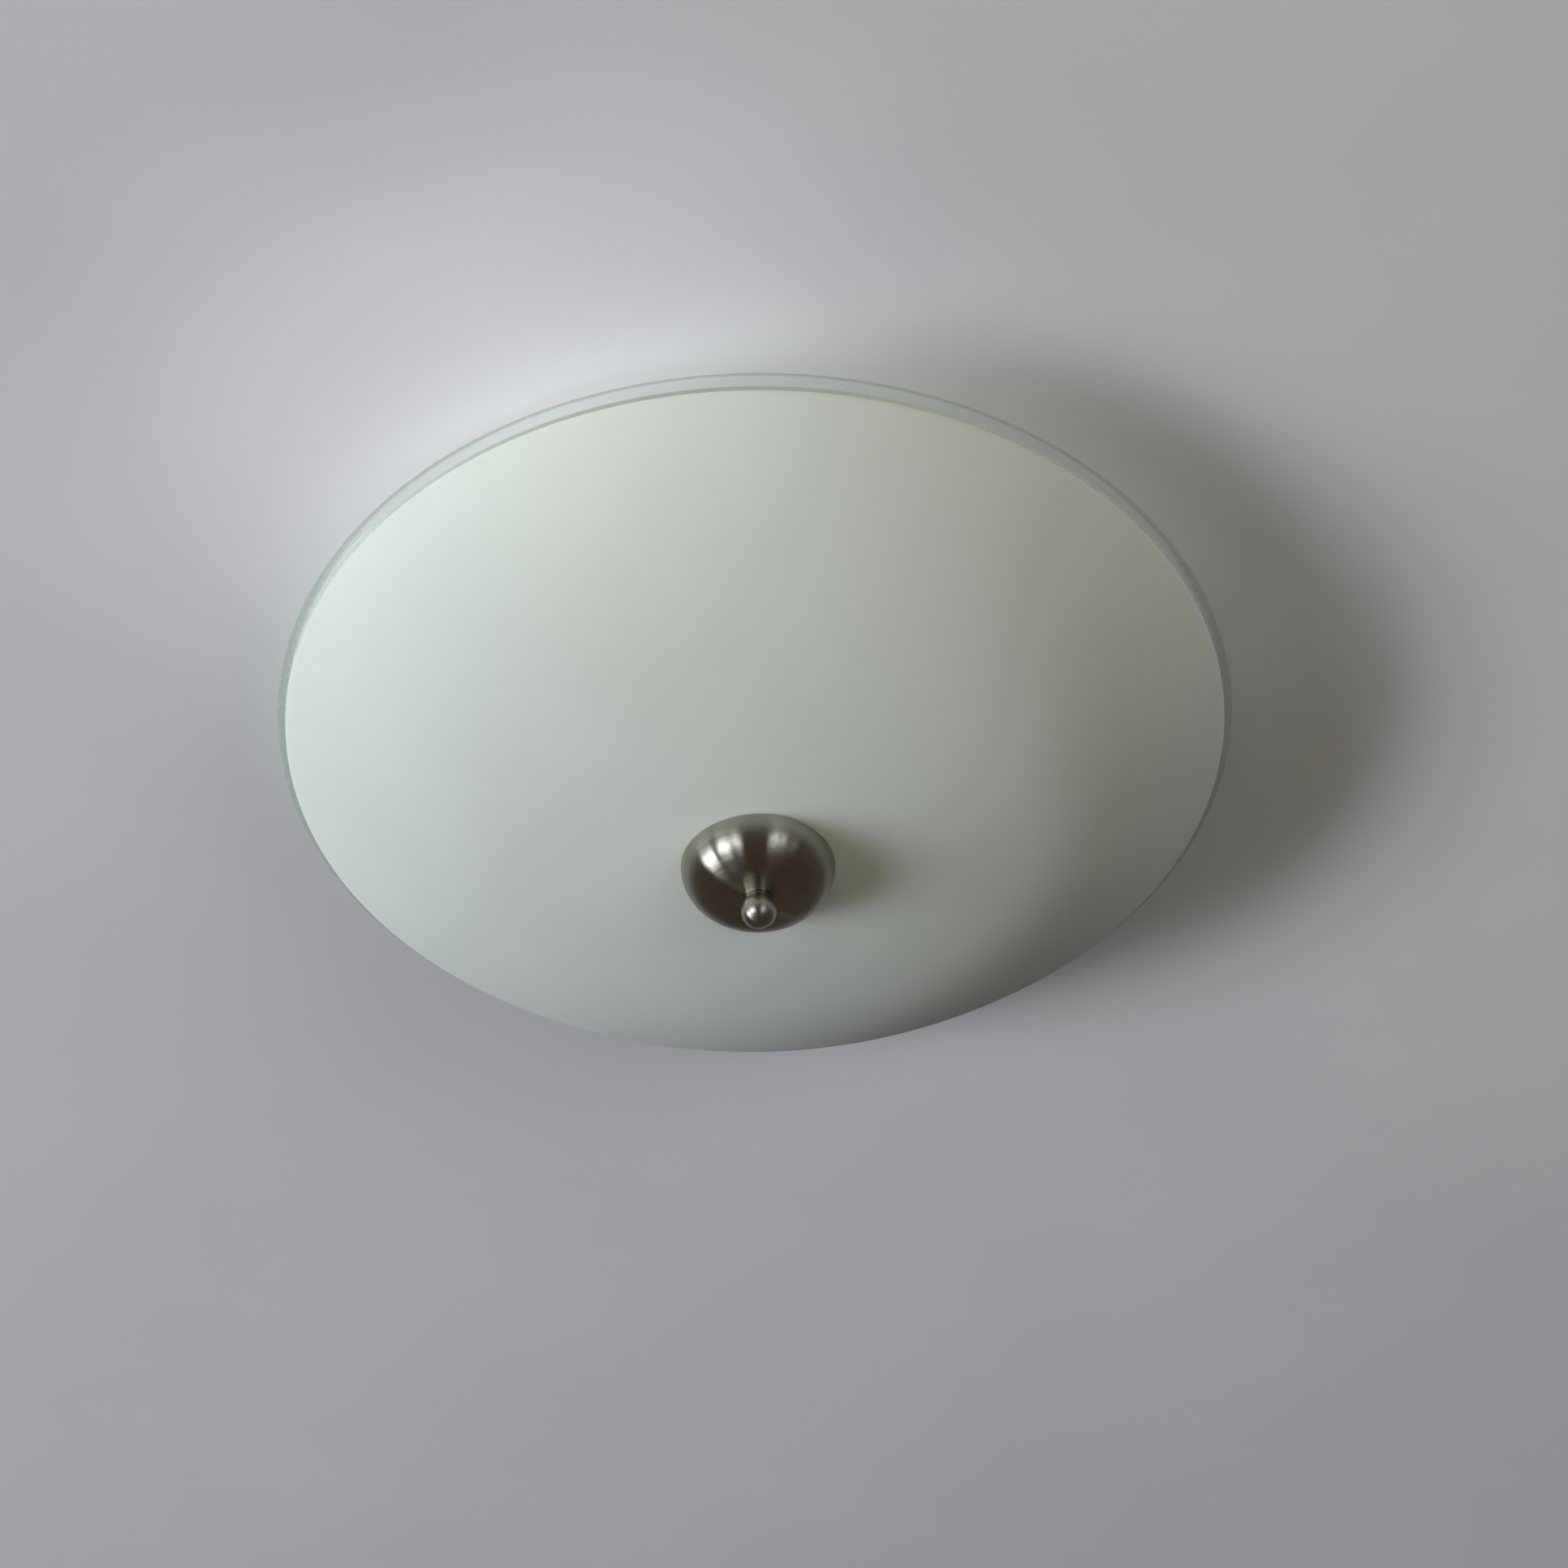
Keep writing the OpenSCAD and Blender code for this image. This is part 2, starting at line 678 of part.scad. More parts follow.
module lamp_bracket() {
    color([0.8, 0.8, 0.8])
        difference() {
            intersection() {
                rotate([90, 0, 0])
                    linear_extrude(bracket_w, center = true)
                        bracket_profile();
                rotate([90, 0, 90])
                    linear_extrude(3 * ear_at, center = true) {
                        translate([0, -lamp_drop])
                            circle(d = bracket_w);
                        translate([-bracket_w / 2, -lamp_drop])
                            square([bracket_w, lamp_drop]);
                    }
            }
            translate([0, 0, -lamp_drop])
                rotate([0, 90, 0])
                    cylinder(r = nipple_d / 2 + fit_clear, h = 3 * ear_at, center = true);
            translate([0, 0, bracket_z - past])
                cylinder(r = rod_r + hole_clear, h = bracket_t + 2 * past);
            for (s = [-1, 1])
                translate([s * bracket_screw_at, 0, bracket_z - past])
                    cylinder(r = m4_r + fit_clear, h = bracket_t + 2 * past);
        }
}

// Slotted screw with a domed head below z = 0 and its shank above
module slotted_screw(shank_r, shank_len, head_r, head_h) {
    dome_r = (head_r * head_r + head_h * head_h) / (2 * head_h);
    cylinder(r = shank_r, h = shank_len, $fn = 48);
    difference() {
        rotate_extrude($fn = 64)
            intersection() {
                translate([0, dome_r - head_h])
                    circle(r = dome_r, $fn = 128);
                translate([0, -head_h])
                    square([head_r, head_h]);
            }
        translate([-head_r - past, -driver_slot_w / 2, -head_h - past])
            cube([2 * (head_r + past), driver_slot_w, driver_slot_depth + past]);
    }
}

module bracket_screws() {
    color([0.72, 0.7, 0.62])
        for (s = [-1, 1])
            translate([s * bracket_screw_at, 0, bracket_z])
                slotted_screw(m4_r, bracket_t + pan_t + bracket_screw_rise, m4_head_r, m4_head_h);
}

module earth_screw() {
    color([0.72, 0.7, 0.62])
        translate([0, earth_at, pan_floor_z - tag_t])
            slotted_screw(m4_r, tag_t + pan_t + bracket_screw_rise, m4_head_r, m4_head_h);
}

// Ring tag with a crimped barrel for the earth lead
module earth_tag() {
    color([0.75, 0.75, 0.7])
        difference() {
            union() {
                translate([0, earth_at, pan_floor_z - tag_t])
                    cylinder(r = tag_r, h = tag_t);
                translate([-barrel_r, earth_at, pan_floor_z - tag_t])
                    cube([2 * barrel_r, barrel_y - earth_at + 1, tag_t]);
                translate([0, barrel_y, barrel_z])
                    rotate([-90, 0, 0])
                        cylinder(r = barrel_r, h = barrel_len, $fn = 48);
            }
            translate([0, earth_at, pan_floor_z - tag_t - past])
                cylinder(r = m4_r + fit_clear, h = tag_t + 2 * past);
            translate([0, barrel_y + 1.6, barrel_z])
                rotate([-90, 0, 0])
                    cylinder(r = lead_d / 2 + fit_clear, h = barrel_len + past, $fn = 48);
        }
}

// Places a child, drawn along +Z from the ear's outer face, on the right or the left lamp axis
module on_lamp_axis(right) {
    rotate([0, 0, right ? 0 : 180])
        translate([ear_at, 0, -lamp_drop])
            rotate([0, 90, 0])
                children();
}

module nipple(right) {
    color([0.7, 0.7, 0.68])
        on_lamp_axis(right)
            translate([0, 0, -nipple_inside])
                washer(nipple_d / 2, nipple_bore_d / 2, nipple_inside + nipple_outside);
}

module nipple_nut(right) {
    color([0.7, 0.7, 0.68])
        on_lamp_axis(right)
            translate([0, 0, -bracket_t - nipple_nut_h])
                hex_nut(nipple_nut_af, nipple_nut_h, nipple_d / 2 + thread_clear);
}

// Filled half section of the lampholder's rounded back, moved in by inset
module dome_fill(inset) {
    flat_r = holder_d / 2 - dome_round;
    intersection() {
        union() {
            translate([0, inset])
                square([flat_r, dome_len]);
            translate([flat_r, dome_round])
                circle(r = dome_round - inset);
            translate([flat_r, dome_round])
                square([dome_round - inset, dome_len]);
        }
        square([holder_d, dome_len]);
    }
}

// Rounded back of the lampholder, with a boss for the nipple and a ledge for the core
module holder_dome(right) {
    inner_r = holder_d / 2 - holder_wall;
    color([0.92, 0.92, 0.9])
        on_lamp_axis(right)
            rotate_extrude()
                difference() {
                    union() {
                        difference() {
                            dome_fill(0);
                            dome_fill(holder_wall);
                        }
                        square([boss_r, boss_len]);
                        translate([inner_r - ledge_w, dome_len - ledge_t])
                            square([ledge_w, ledge_t]);
                    }
                    translate([0, -past])
                        square([nipple_d / 2 + thread_clear, boss_len + 2 * past]);
                }
}

// Straight skirt with grip flutes, a rounded mouth and a ledge in front of the core
module holder_skirt(right) {
    r = holder_d / 2;
    lip = holder_wall / 2;
    flute_end = 4;
    color([0.92, 0.92, 0.9])
        on_lamp_axis(right)
            translate([0, 0, dome_len])
                difference() {
                    rotate_extrude() {
                        translate([r - holder_wall, 0])
                            square([holder_wall, skirt_len - lip]);
                        translate([r - holder_wall - ledge_w, core_t])
                            square([ledge_w + lip, ledge_t]);
                        translate([r - lip, skirt_len - lip])
                            circle(r = lip, $fn = 32);
                    }
                    for (k = [0:flute_count - 1])
                        rotate([0, 0, 360 * k / flute_count])
                            translate([r + flute_r * 0.4, 0, flute_end])
                                cylinder(r = flute_r, h = skirt_len - 2 * flute_end, $fn = 24);
                }
}

// Insulating core that carries the screw shell and the centre contact
module holder_core(right) {
    color([0.88, 0.86, 0.8])
        on_lamp_axis(right)
            translate([0, 0, core_at])
                difference() {
                    cylinder(r = core_r, h = core_t);
                    for (s = [-1, 1])
                        translate([0, s * core_hole_at, -past])
                            cylinder(r = core_hole_r, h = core_hole_depth + past, $fn = 48);
                    translate([0, 0, core_t - shell_rim])
                        difference() {
                            cylinder(r = shell_outer_r + fit_clear, h = 2 * shell_rim);
                            translate([0, 0, -past])
                                cylinder(r = shell_bore_d / 2 - fit_clear, h = 4 * shell_rim);
                        }
                }
}

// Places of the rolled thread's grooves along a shell of the given length
function groove_places(from, length) =
    [for (k = [0:floor((length - thread_pitch) / thread_pitch) - 1]) from + (k + 1) * thread_pitch];

// Rolled metal shell that a lamp screws into
module screw_shell(right) {
    inner = shell_bore_d / 2;
    bulge = thread_depth;
    foot = core_end - shell_rim;
    color([0.8, 0.68, 0.4])
        on_lamp_axis(right)
            rotate_extrude()
                difference() {
                    union() {
                        translate([inner, foot])
                            square([shell_t, shell_len]);
                        for (z = groove_places(foot + shell_rim, shell_len - shell_rim))
                            translate([inner + bulge - thread_groove_r, z])
                                circle(r = thread_groove_r + shell_t, $fn = 32);
                    }
                    for (z = groove_places(foot + shell_rim, shell_len - shell_rim))
                        translate([inner + bulge - thread_groove_r, z])
                            circle(r = thread_groove_r, $fn = 32);
                    translate([0, foot - past])
                        square([inner, shell_len + 2 * past]);
                }
}

// Springy metal tongue in the middle of the core
module centre_contact(right) {
    color([0.82, 0.68, 0.4])
        on_lamp_axis(right)
            translate([0, 0, core_end])
                rotate([90, 0, 0])
                    linear_extrude(contact_w, center = true)
                        polygon([[-contact_foot, 0], [-contact_bend, 0], [0, contact_rise], contact_end,
                            contact_end + [0, contact_t], [0, contact_rise + contact_t],
                            [-contact_bend, contact_t], [-contact_foot, contact_t]]);
}

// Rolled aluminium shell of the lamp, open towards the bulb
module lamp_cap(right) {
    outer = lamp_shell_d / 2;
    inner = outer - lamp_wall - thread_depth;
    foot_r = 8;
    mouth = lamp_shell_len - lamp_neck_in - lamp_wall;
    color([0.78, 0.78, 0.8])
        on_lamp_axis(right)
            translate([0, 0, lamp_shell_at])
                rotate_extrude()
                    difference() {
                        polygon([[0, 0], [foot_r, 0], [outer, 3], [outer, lamp_shell_len],
                            [outer - lamp_wall, lamp_shell_len], [outer - lamp_wall, mouth],
                            [inner, mouth - 1], [inner, 3 + lamp_wall], [foot_r, lamp_wall], [0, lamp_wall]]);
                        for (z = groove_places(2, lamp_shell_len - 2))
                            translate([outer + thread_groove_r - thread_depth, z])
                                circle(r = thread_groove_r, $fn = 32);
                    }
}

// Black glass insulator between the lamp's shell and its contact button
module lamp_foot(right) {
    color([0.12, 0.12, 0.14])
        on_lamp_axis(right)
            translate([0, 0, lamp_at])
                rotate_extrude()
                    polygon([[0, button_h], [6.5, button_h], [8, lamp_foot_len - 0.6],
                        [8, lamp_foot_len], [0, lamp_foot_len]]);
}

module lamp_button(right) {
    color([0.75, 0.75, 0.73])
        on_lamp_axis(right)
            translate([0, 0, lamp_at])
                rotate_extrude()
                    polygon([[0, 0], [button_r * 0.7, 0], [button_r, button_h * 0.6],
                        [button_r, button_h], [0, button_h]]);
}

// Frosted bulb: a ball with a neck that runs at a tangent into the lamp's shell
module bulb_outline(inset) {
    r = bulb_d / 2 - inset;
    neck = lamp_neck_r - inset;
    reach = norm([neck, bulb_reach]);
    lean = atan2(neck, bulb_reach) + acos(r / reach);
    difference() {
        union() {
            translate([0, bulb_reach])
                circle(r = r);
            polygon([[0, 0], [neck, 0], [r * sin(lean), bulb_reach - r * cos(lean)], [0, bulb_reach]]);
            translate([0, -lamp_neck_in])
                square([neck, lamp_neck_in]);
        }
        translate([-2 * bulb_d, -bulb_d])
            square([2 * bulb_d, 4 * bulb_d]);
    }
}

module lamp_bulb(right) {
    color([0.95, 0.95, 0.93])
        on_lamp_axis(right)
            translate([0, 0, lamp_shell_end])
                rotate_extrude()
                    difference() {
                        bulb_outline(0);
                        bulb_outline(bulb_t);
                        translate([0, -lamp_neck_in - past])
                            square([lamp_neck_r - bulb_t, lamp_neck_in + past]);
                    }
}

// A child drawn along +Z, turned to point along +Y in a pole's wire hole, for each pole
module in_each_pole(y) {
    for (k = [-1:1])
        translate([k * pole_pitch, y, wire_z])
            rotate([-90, 0, 0])
                children();
}

// Block with three poles, each with a brass insert pushed in from the lamp side
module terminal_block() {
    mid_y = block_at + block_len / 2;
    low = -pan_t - block_h;
    color([0.95, 0.95, 0.92])
        difference() {
            union() {
                for (k = [-1:1])
                    translate([k * pole_pitch, mid_y, low])
                        linear_extrude(block_h)
                            rounded_square(pole_w, block_len, block_corner);
                translate([-pole_pitch, block_at + web_inset, -pan_t - web_h])
                    cube([2 * pole_pitch, block_len - 2 * web_inset, web_h]);
            }
            in_each_pole(block_at - past)
                cylinder(d = insert_d + 2 * thread_clear, h = block_len - block_end_t + past, $fn = 64);
            in_each_pole(mid_y)
                cylinder(d = supply_hole_d + 2 * hole_clear, h = block_len, $fn = 64);
            for (y = clamp_y)
                for (k = [-1:1])
                    translate([k * pole_pitch, y, low - past])
                        cylinder(d = clamp_screw_d + 2 * fit_clear, h = wire_z - low + past, $fn = 48);
            translate([pole_pitch / 2, mid_y, -pan_t - web_h - past])
                cylinder(r = block_screw_r + fit_clear, h = web_h + 2 * past, $fn = 48);
            translate([pole_pitch / 2, mid_y, low - past])
                cylinder(r = block_head_r + fit_clear, h = block_h - web_h + past, $fn = 48);
        }
}

// Brass inserts that join the wires of the two sides, held by the clamping screws
module terminal_inserts() {
    insert_len = block_len - block_end_t - hole_clear;
    color([0.82, 0.68, 0.36])
        difference() {
            in_each_pole(block_at + hole_clear)
                cylinder(d = insert_d, h = insert_len, $fn = 64);
            in_each_pole(block_at)
                cylinder(d = lamp_hole_d, h = wire_hole_depth, $fn = 64);
            in_each_pole(block_at + block_len - wire_hole_depth)
                cylinder(d = supply_hole_d, h = wire_hole_depth, $fn = 64);
            for (y = clamp_y)
                for (k = [-1:1])
                    translate([k * pole_pitch, y, wire_z - insert_d])
                        cylinder(d = clamp_screw_d + 2 * thread_clear, h = insert_d, $fn = 48);
        }
}

module rounded_square(w, l, r) {
    square([w - 2 * r, l], center = true);
    square([w, l - 2 * r], center = true);
    for (x = [-1, 1])
        for (y = [-1, 1])
            translate([x * (w / 2 - r), y * (l / 2 - r)])
                circle(r = r, $fn = 32);
}

// Clamping screws: those on the lamp side press on the leads
module terminal_screws() {
    low = -pan_t - block_h + clamp_sink;
    tips = [wire_z - lead_d / 2, wire_z - supply_hole_d / 2 - hole_clear];
    color([0.8, 0.8, 0.78])
        for (k = [-1:1])
            for (i = [0:1])
                translate([k * pole_pitch, clamp_y[i], low])
                    difference() {
                        cylinder(d = clamp_screw_d, h = tips[i] - low, $fn = 48);
                        translate([-clamp_screw_d, -driver_slot_w / 2, -past])
                            cube([2 * clamp_screw_d, driver_slot_w, driver_slot_depth + past]);
                    }
}

module block_fixing_screw() {
    color([0.72, 0.7, 0.62])
        translate([pole_pitch / 2, block_at + block_len / 2, -pan_t - web_h])
            slotted_screw(block_screw_r, web_h + pan_t - end_room, block_head_r, block_head_h);
}

module lead_live() {
    color([0.36, 0.2, 0.12]) {
        lead(route_live_right);
        lead(route_live_left);
    }
}

module lead_neutral() {
    color([0.12, 0.3, 0.62]) {
        lead(route_neutral_right);
        lead(route_neutral_left);
    }
}

module lead_earth() {
    color([0.35, 0.6, 0.2])
        lead(route_earth);
}

ceiling_pan();
cable_grommet();
lamp_bracket();
bracket_screws();
centre_rod();
rod_top_nut();
rod_lock_washer();
rod_bottom_nut();
stop_nut();
stop_washer();
bowl_seat();
glass_bowl();
glass_cap();
cap_felt_ring();
ball_knob();
nipple(false);  // nipple_left
nipple(true);  // nipple_right
nipple_nut(false);  // nipple_nut_left
nipple_nut(true);  // nipple_nut_right
holder_dome(false);  // holder_dome_left
holder_dome(true);  // holder_dome_right
holder_skirt(false);  // holder_skirt_left
holder_skirt(true);  // holder_skirt_right
holder_core(false);  // holder_core_left
holder_core(true);  // holder_core_right
screw_shell(false);  // screw_shell_left
screw_shell(true);  // screw_shell_right
centre_contact(false);  // centre_contact_left
centre_contact(true);  // centre_contact_right
lamp_cap(false);  // lamp_cap_left
lamp_cap(true);  // lamp_cap_right
lamp_foot(false);  // lamp_foot_left
lamp_foot(true);  // lamp_foot_right
lamp_button(false);  // lamp_button_left
lamp_button(true);  // lamp_button_right
lamp_bulb(false);  // lamp_bulb_left
lamp_bulb(true);  // lamp_bulb_right
terminal_block();
terminal_inserts();
terminal_screws();
block_fixing_screw();
earth_tag();
earth_screw();
lead_live();
lead_neutral();
lead_earth();
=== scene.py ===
import json
from math import asin, atan2, cos, pi, radians, sin, sqrt, tau

import bmesh
import bpy
from mathutils import Matrix, Vector


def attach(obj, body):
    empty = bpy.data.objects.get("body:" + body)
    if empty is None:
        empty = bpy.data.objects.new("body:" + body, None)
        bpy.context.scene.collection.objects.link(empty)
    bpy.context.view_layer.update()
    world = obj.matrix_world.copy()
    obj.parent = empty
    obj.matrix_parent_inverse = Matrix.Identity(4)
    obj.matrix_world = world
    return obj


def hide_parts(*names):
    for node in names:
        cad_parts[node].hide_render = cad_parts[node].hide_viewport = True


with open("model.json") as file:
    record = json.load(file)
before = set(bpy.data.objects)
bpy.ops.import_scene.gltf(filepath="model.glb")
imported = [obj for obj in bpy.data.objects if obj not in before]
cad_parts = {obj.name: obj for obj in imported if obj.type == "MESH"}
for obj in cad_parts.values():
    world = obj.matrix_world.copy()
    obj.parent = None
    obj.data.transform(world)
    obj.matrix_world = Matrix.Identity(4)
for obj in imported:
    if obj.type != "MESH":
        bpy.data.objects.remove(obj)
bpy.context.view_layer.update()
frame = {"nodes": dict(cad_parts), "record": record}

# Sizes repeated from the part's source, in millimetres

MM = 0.001
BOWL_D = 400
BOWL_DEPTH = 69.3
CENTRE_R = 423          # radius of the bowl's shallow middle
TURN_AT = 108           # where the steeper shoulder starts, from the axis
GLASS_T = 5
RIM_GAP = 30            # from the ceiling down to the bowl's rim
HOLE_R = 5.5            # the bowl's hole
CAP_D = 62.9
CAP_H = 18.3
CAP_CROWN_RISE = 0.5
CAP_STAND = 0.5         # between the cap's rim and the glass
CAP_T = 0.8
BALL_D = 14.6
NECK_D = 12
BALL_DROP = 5.7         # from the cap's tip down to the ball's centre
KNOB_THREAD = 10        # length of rod inside the knob
ROD_R = 4
ROD_PITCH = 1.25
ROD_TOP_GAP = 3         # from the ceiling down to the rod's upper end
EAR_AT = 25.5           # the lamp bracket's ears, from the axis
LAMP_DROP = 40          # from the ceiling down to the lamps' axis

# Places worked out from these sizes

rim_z = -RIM_GAP
centre_z = rim_z - BOWL_DEPTH + CENTRE_R
turn_angle = asin(TURN_AT / CENTRE_R)
normal = Vector((-sin(turn_angle), cos(turn_angle)))
turn_point = Vector((0, centre_z)) - CENTRE_R * normal
rim_mid = Vector((BOWL_D / 2 - GLASS_T / 2, rim_z))
to_rim = turn_point - rim_mid
shoulder_r = (GLASS_T * GLASS_T / 4 - to_rim.dot(to_rim)) / (2 * normal.dot(to_rim) + GLASS_T)
shoulder = turn_point + shoulder_r * normal
rim_angle = atan2(rim_mid.x - shoulder.x, shoulder.y - rim_mid.y)
cap_rim_z = centre_z - sqrt(CENTRE_R ** 2 - (CAP_D / 2) ** 2) - CAP_STAND
cap_tip_z = cap_rim_z - CAP_H
ball_z = cap_tip_z - BALL_DROP
rod_bottom_z = cap_tip_z - KNOB_THREAD

# Mesh helpers

MERGE = 1e-7            # metres between points that are taken as one
ON_AXIS = 1e-6          # millimetres from the axis that are taken as none


def finish_mesh(name, bm, body, sharp):
    """An object from bm, smooth apart from edges sharper than an angle in degrees, riding on a body."""
    bmesh.ops.remove_doubles(bm, verts=bm.verts, dist=MERGE)
    bmesh.ops.dissolve_degenerate(bm, edges=bm.edges, dist=MERGE)
    bmesh.ops.recalc_face_normals(bm, faces=bm.faces)
    for face in bm.faces:
        face.smooth = True
    for edge in bm.edges:
        edge.smooth = edge.is_manifold and edge.calc_face_angle() < radians(sharp)
    mesh = bpy.data.meshes.new(name)
    bm.to_mesh(mesh)
    bm.free()
    piece = bpy.data.objects.new(name, mesh)
    bpy.context.scene.collection.objects.link(piece)
    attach(piece, body)
    return piece


def on_circle(r, share, z):
    """The point at a share of a turn round the Z axis, from a radius and a height in millimetres."""
    return r * cos(tau * share) * MM, r * sin(tau * share) * MM, z * MM


def arc(centre, radius, start, end, steps):
    """Points (r, z) on an arc, with angles measured from straight down towards +r."""
    return [(centre[0] + radius * sin(start + (end - start) * k / steps),
             centre[1] - radius * cos(start + (end - start) * k / steps)) for k in range(steps + 1)]


def revolve(name, profile, steps, body, sharp):
    """A closed profile of (r, z) points, in millimetres, turned round the Z axis."""
    bm = bmesh.new()
    rings = []
    for r, z in profile:
        if r < ON_AXIS:
            rings.append([bm.verts.new((0, 0, z * MM))] * steps)
        else:
            rings.append([bm.verts.new(on_circle(r, k / steps, z)) for k in range(steps)])
    for i, ring in enumerate(rings):
        after = rings[(i + 1) % len(rings)]
        for k in range(steps):
            n = (k + 1) % steps
            corners = []
            for v in (ring[k], ring[n], after[n], after[k]):
                if v not in corners:
                    corners.append(v)
            if len(corners) > 2:
                bm.faces.new(corners)
    return finish_mesh(name, bm, body, sharp)


def smooth_route(points, steps):
    """Catmull-Rom curve through the points."""
    path = [Vector(p) for p in points]
    last = len(path) - 1
    out = []
    for i in range(last):
        p0, p1, p2, p3 = path[max(i - 1, 0)], path[i], path[i + 1], path[min(i + 2, last)]
        for k in range(steps):
            t = k / steps
            out.append(0.5 * (2 * p1 + (p2 - p0) * t + (2 * p0 - 5 * p1 + 4 * p2 - p3) * t * t
                              + (3 * p1 - p0 - 3 * p2 + p3) * t ** 3))
    out.append(path[last])
    return out


def tube(name, points, radius, body, sides=14):
    """A round tube along points, in millimetres, with a UV of length along and share around."""
    bm = bmesh.new()
    uv = bm.loops.layers.uv.new("along")
    path = [Vector(p) for p in points]
    last = len(path) - 1
    side = Vector((0, 0.3, 1))      # a direction that no tube here runs along
    rings = []
    lengths = []
    run = 0.0
    for i, p in enumerate(path):
        forward = (path[min(i + 1, last)] - path[max(i - 1, 0)]).normalized()
        side = (side - side.dot(forward) * forward).normalized()
        across = forward.cross(side)
        if i:
            run += (p - path[i - 1]).length
        lengths.append(run)
        ring = []
        for k in range(sides):
            out = cos(tau * k / sides) * side + sin(tau * k / sides) * across
            ring.append(bm.verts.new((p + radius * out) * MM))
        rings.append(ring)
    for i in range(last):
        for k in range(sides):
            n = (k + 1) % sides
            face = bm.faces.new((rings[i][k], rings[i][n], rings[i + 1][n], rings[i + 1][k]))
            for loop, (a, b) in zip(face.loops, ((i, k), (i, k + 1), (i + 1, k + 1), (i + 1, k))):
                loop[uv].uv = (lengths[a] * MM, b / sides)
    bm.faces.new(rings[0])
    bm.faces.new(list(reversed(rings[-1])))
    return finish_mesh(name, bm, body, sharp=50)


def thread_skin(bm, low, high, pitch, radii, steps):
    """A threaded surface round the Z axis from z = low to high, closed at both ends. radii are the radii
    along one pitch, and the ends have the smallest of them."""
    per = len(radii)
    rows = int((high - low) / pitch + 1) * per
    grid = []
    for i in range(-per, rows + per):
        row = []
        for k in range(steps + 1):
            z = low + pitch * (i / per + k / steps)
            r = radii[i % per]
            if z <= low or z >= high:
                z = min(max(z, low), high)
                r = min(radii)
            row.append(bm.verts.new(on_circle(r, k / steps, z)))
        grid.append(row)
    for a, b in zip(grid, grid[1:]):
        for k in range(steps):
            bm.faces.new((a[k], a[k + 1], b[k + 1], b[k]))
    for rim in (grid[0], grid[-1]):
        bm.faces.new(rim[:-1])


# Material helpers

NOISE_LOW, NOISE_HIGH = 0.3, 0.7        # the span that most of a noise's values lie in


class Nodes:
    """A new material and short ways to add its nodes."""

    def __init__(self, name):
        self.material = bpy.data.materials.new(name)
        self.material.use_nodes = True
        self.tree = self.material.node_tree
        self.shader = self.tree.nodes["Principled BSDF"]
        self.where = self.tree.nodes.new("ShaderNodeTexCoord").outputs["Object"]

    def set(self, **values):
        """Values of the shader that are the same all over."""
        for key, value in values.items():
            self.shader.inputs[key.replace("_", " ")].default_value = value

    def wear(self, **links):
        """Values of the shader that change from place to place."""
        for key, value in links.items():
            self.join(value, self.shader.inputs[key.replace("_", " ")])

    def join(self, a, b):
        self.tree.links.new(a, b)

    def fill(self, sockets, values):
        """Numbers are set on the sockets, and other values are joined to them."""
        for socket, value in zip(sockets, values):
            if isinstance(value, (int, float)):
                socket.default_value = value
            else:
                self.join(value, socket)

    def math(self, kind, *values):
        node = self.tree.nodes.new("ShaderNodeMath")
        node.operation = kind
        self.fill(node.inputs, values)
        return node.outputs[0]

    def blend(self, a, share_a, b, share_b):
        """A weighted sum of two values."""
        return self.math("ADD", self.math("MULTIPLY", a, share_a), self.math("MULTIPLY", b, share_b))

    def vector(self, x, y, z):
        node = self.tree.nodes.new("ShaderNodeCombineXYZ")
        self.fill(node.inputs, (x, y, z))
        return node.outputs[0]

    def split(self, vector):
        node = self.tree.nodes.new("ShaderNodeSeparateXYZ")
        self.join(vector, node.inputs[0])
        return node.outputs

    def noise(self, scale, detail=2.0, roughness=0.5, vector=None, distortion=0.0):
        node = self.tree.nodes.new("ShaderNodeTexNoise")
        node.inputs["Scale"].default_value = scale
        node.inputs["Detail"].default_value = detail
        node.inputs["Roughness"].default_value = roughness
        node.inputs["Distortion"].default_value = distortion
        self.join(vector or self.where, node.inputs["Vector"])
        return node.outputs["Fac"]

    def spread(self, value, low, high, to_low, to_high):
        node = self.tree.nodes.new("ShaderNodeMapRange")
        for name, number in (("From Min", low), ("From Max", high), ("To Min", to_low), ("To Max", to_high)):
            node.inputs[name].default_value = number
        self.join(value, node.inputs["Value"])
        return node.outputs["Result"]

    def between(self, noise, low, high):
        """A number that a noise moves between low and high."""
        return self.spread(noise, NOISE_LOW, NOISE_HIGH, low, high)

    def ramp(self, value, *stops):
        node = self.tree.nodes.new("ShaderNodeValToRGB")
        while len(node.color_ramp.elements) < len(stops):
            node.color_ramp.elements.new(1.0)
        for element, (place, colour) in zip(node.color_ramp.elements, stops):
            element.position = place
            element.color = (*colour, 1)
        self.join(value, node.inputs["Fac"])
        return node.outputs["Color"]

    def tones(self, noise, dark, light):
        """A colour that a noise moves between dark and light."""
        return self.ramp(noise, (NOISE_LOW, dark), (NOISE_HIGH, light))

    def bump(self, height, strength, distance, under=None):
        node = self.tree.nodes.new("ShaderNodeBump")
        node.inputs["Strength"].default_value = strength
        node.inputs["Distance"].default_value = distance
        self.join(height, node.inputs["Height"])
        if under:
            self.join(under, node.inputs["Normal"])
        return node.outputs["Normal"]

    def show_mix(self, share, first, second):
        """The surface shows a mix of two shaders, with the second's share given."""
        mix = self.tree.nodes.new("ShaderNodeMixShader")
        for value, socket in zip((share, first, second), mix.inputs):
            self.join(value, socket)
        self.join(mix.outputs[0], self.tree.nodes["Material Output"].inputs["Surface"])


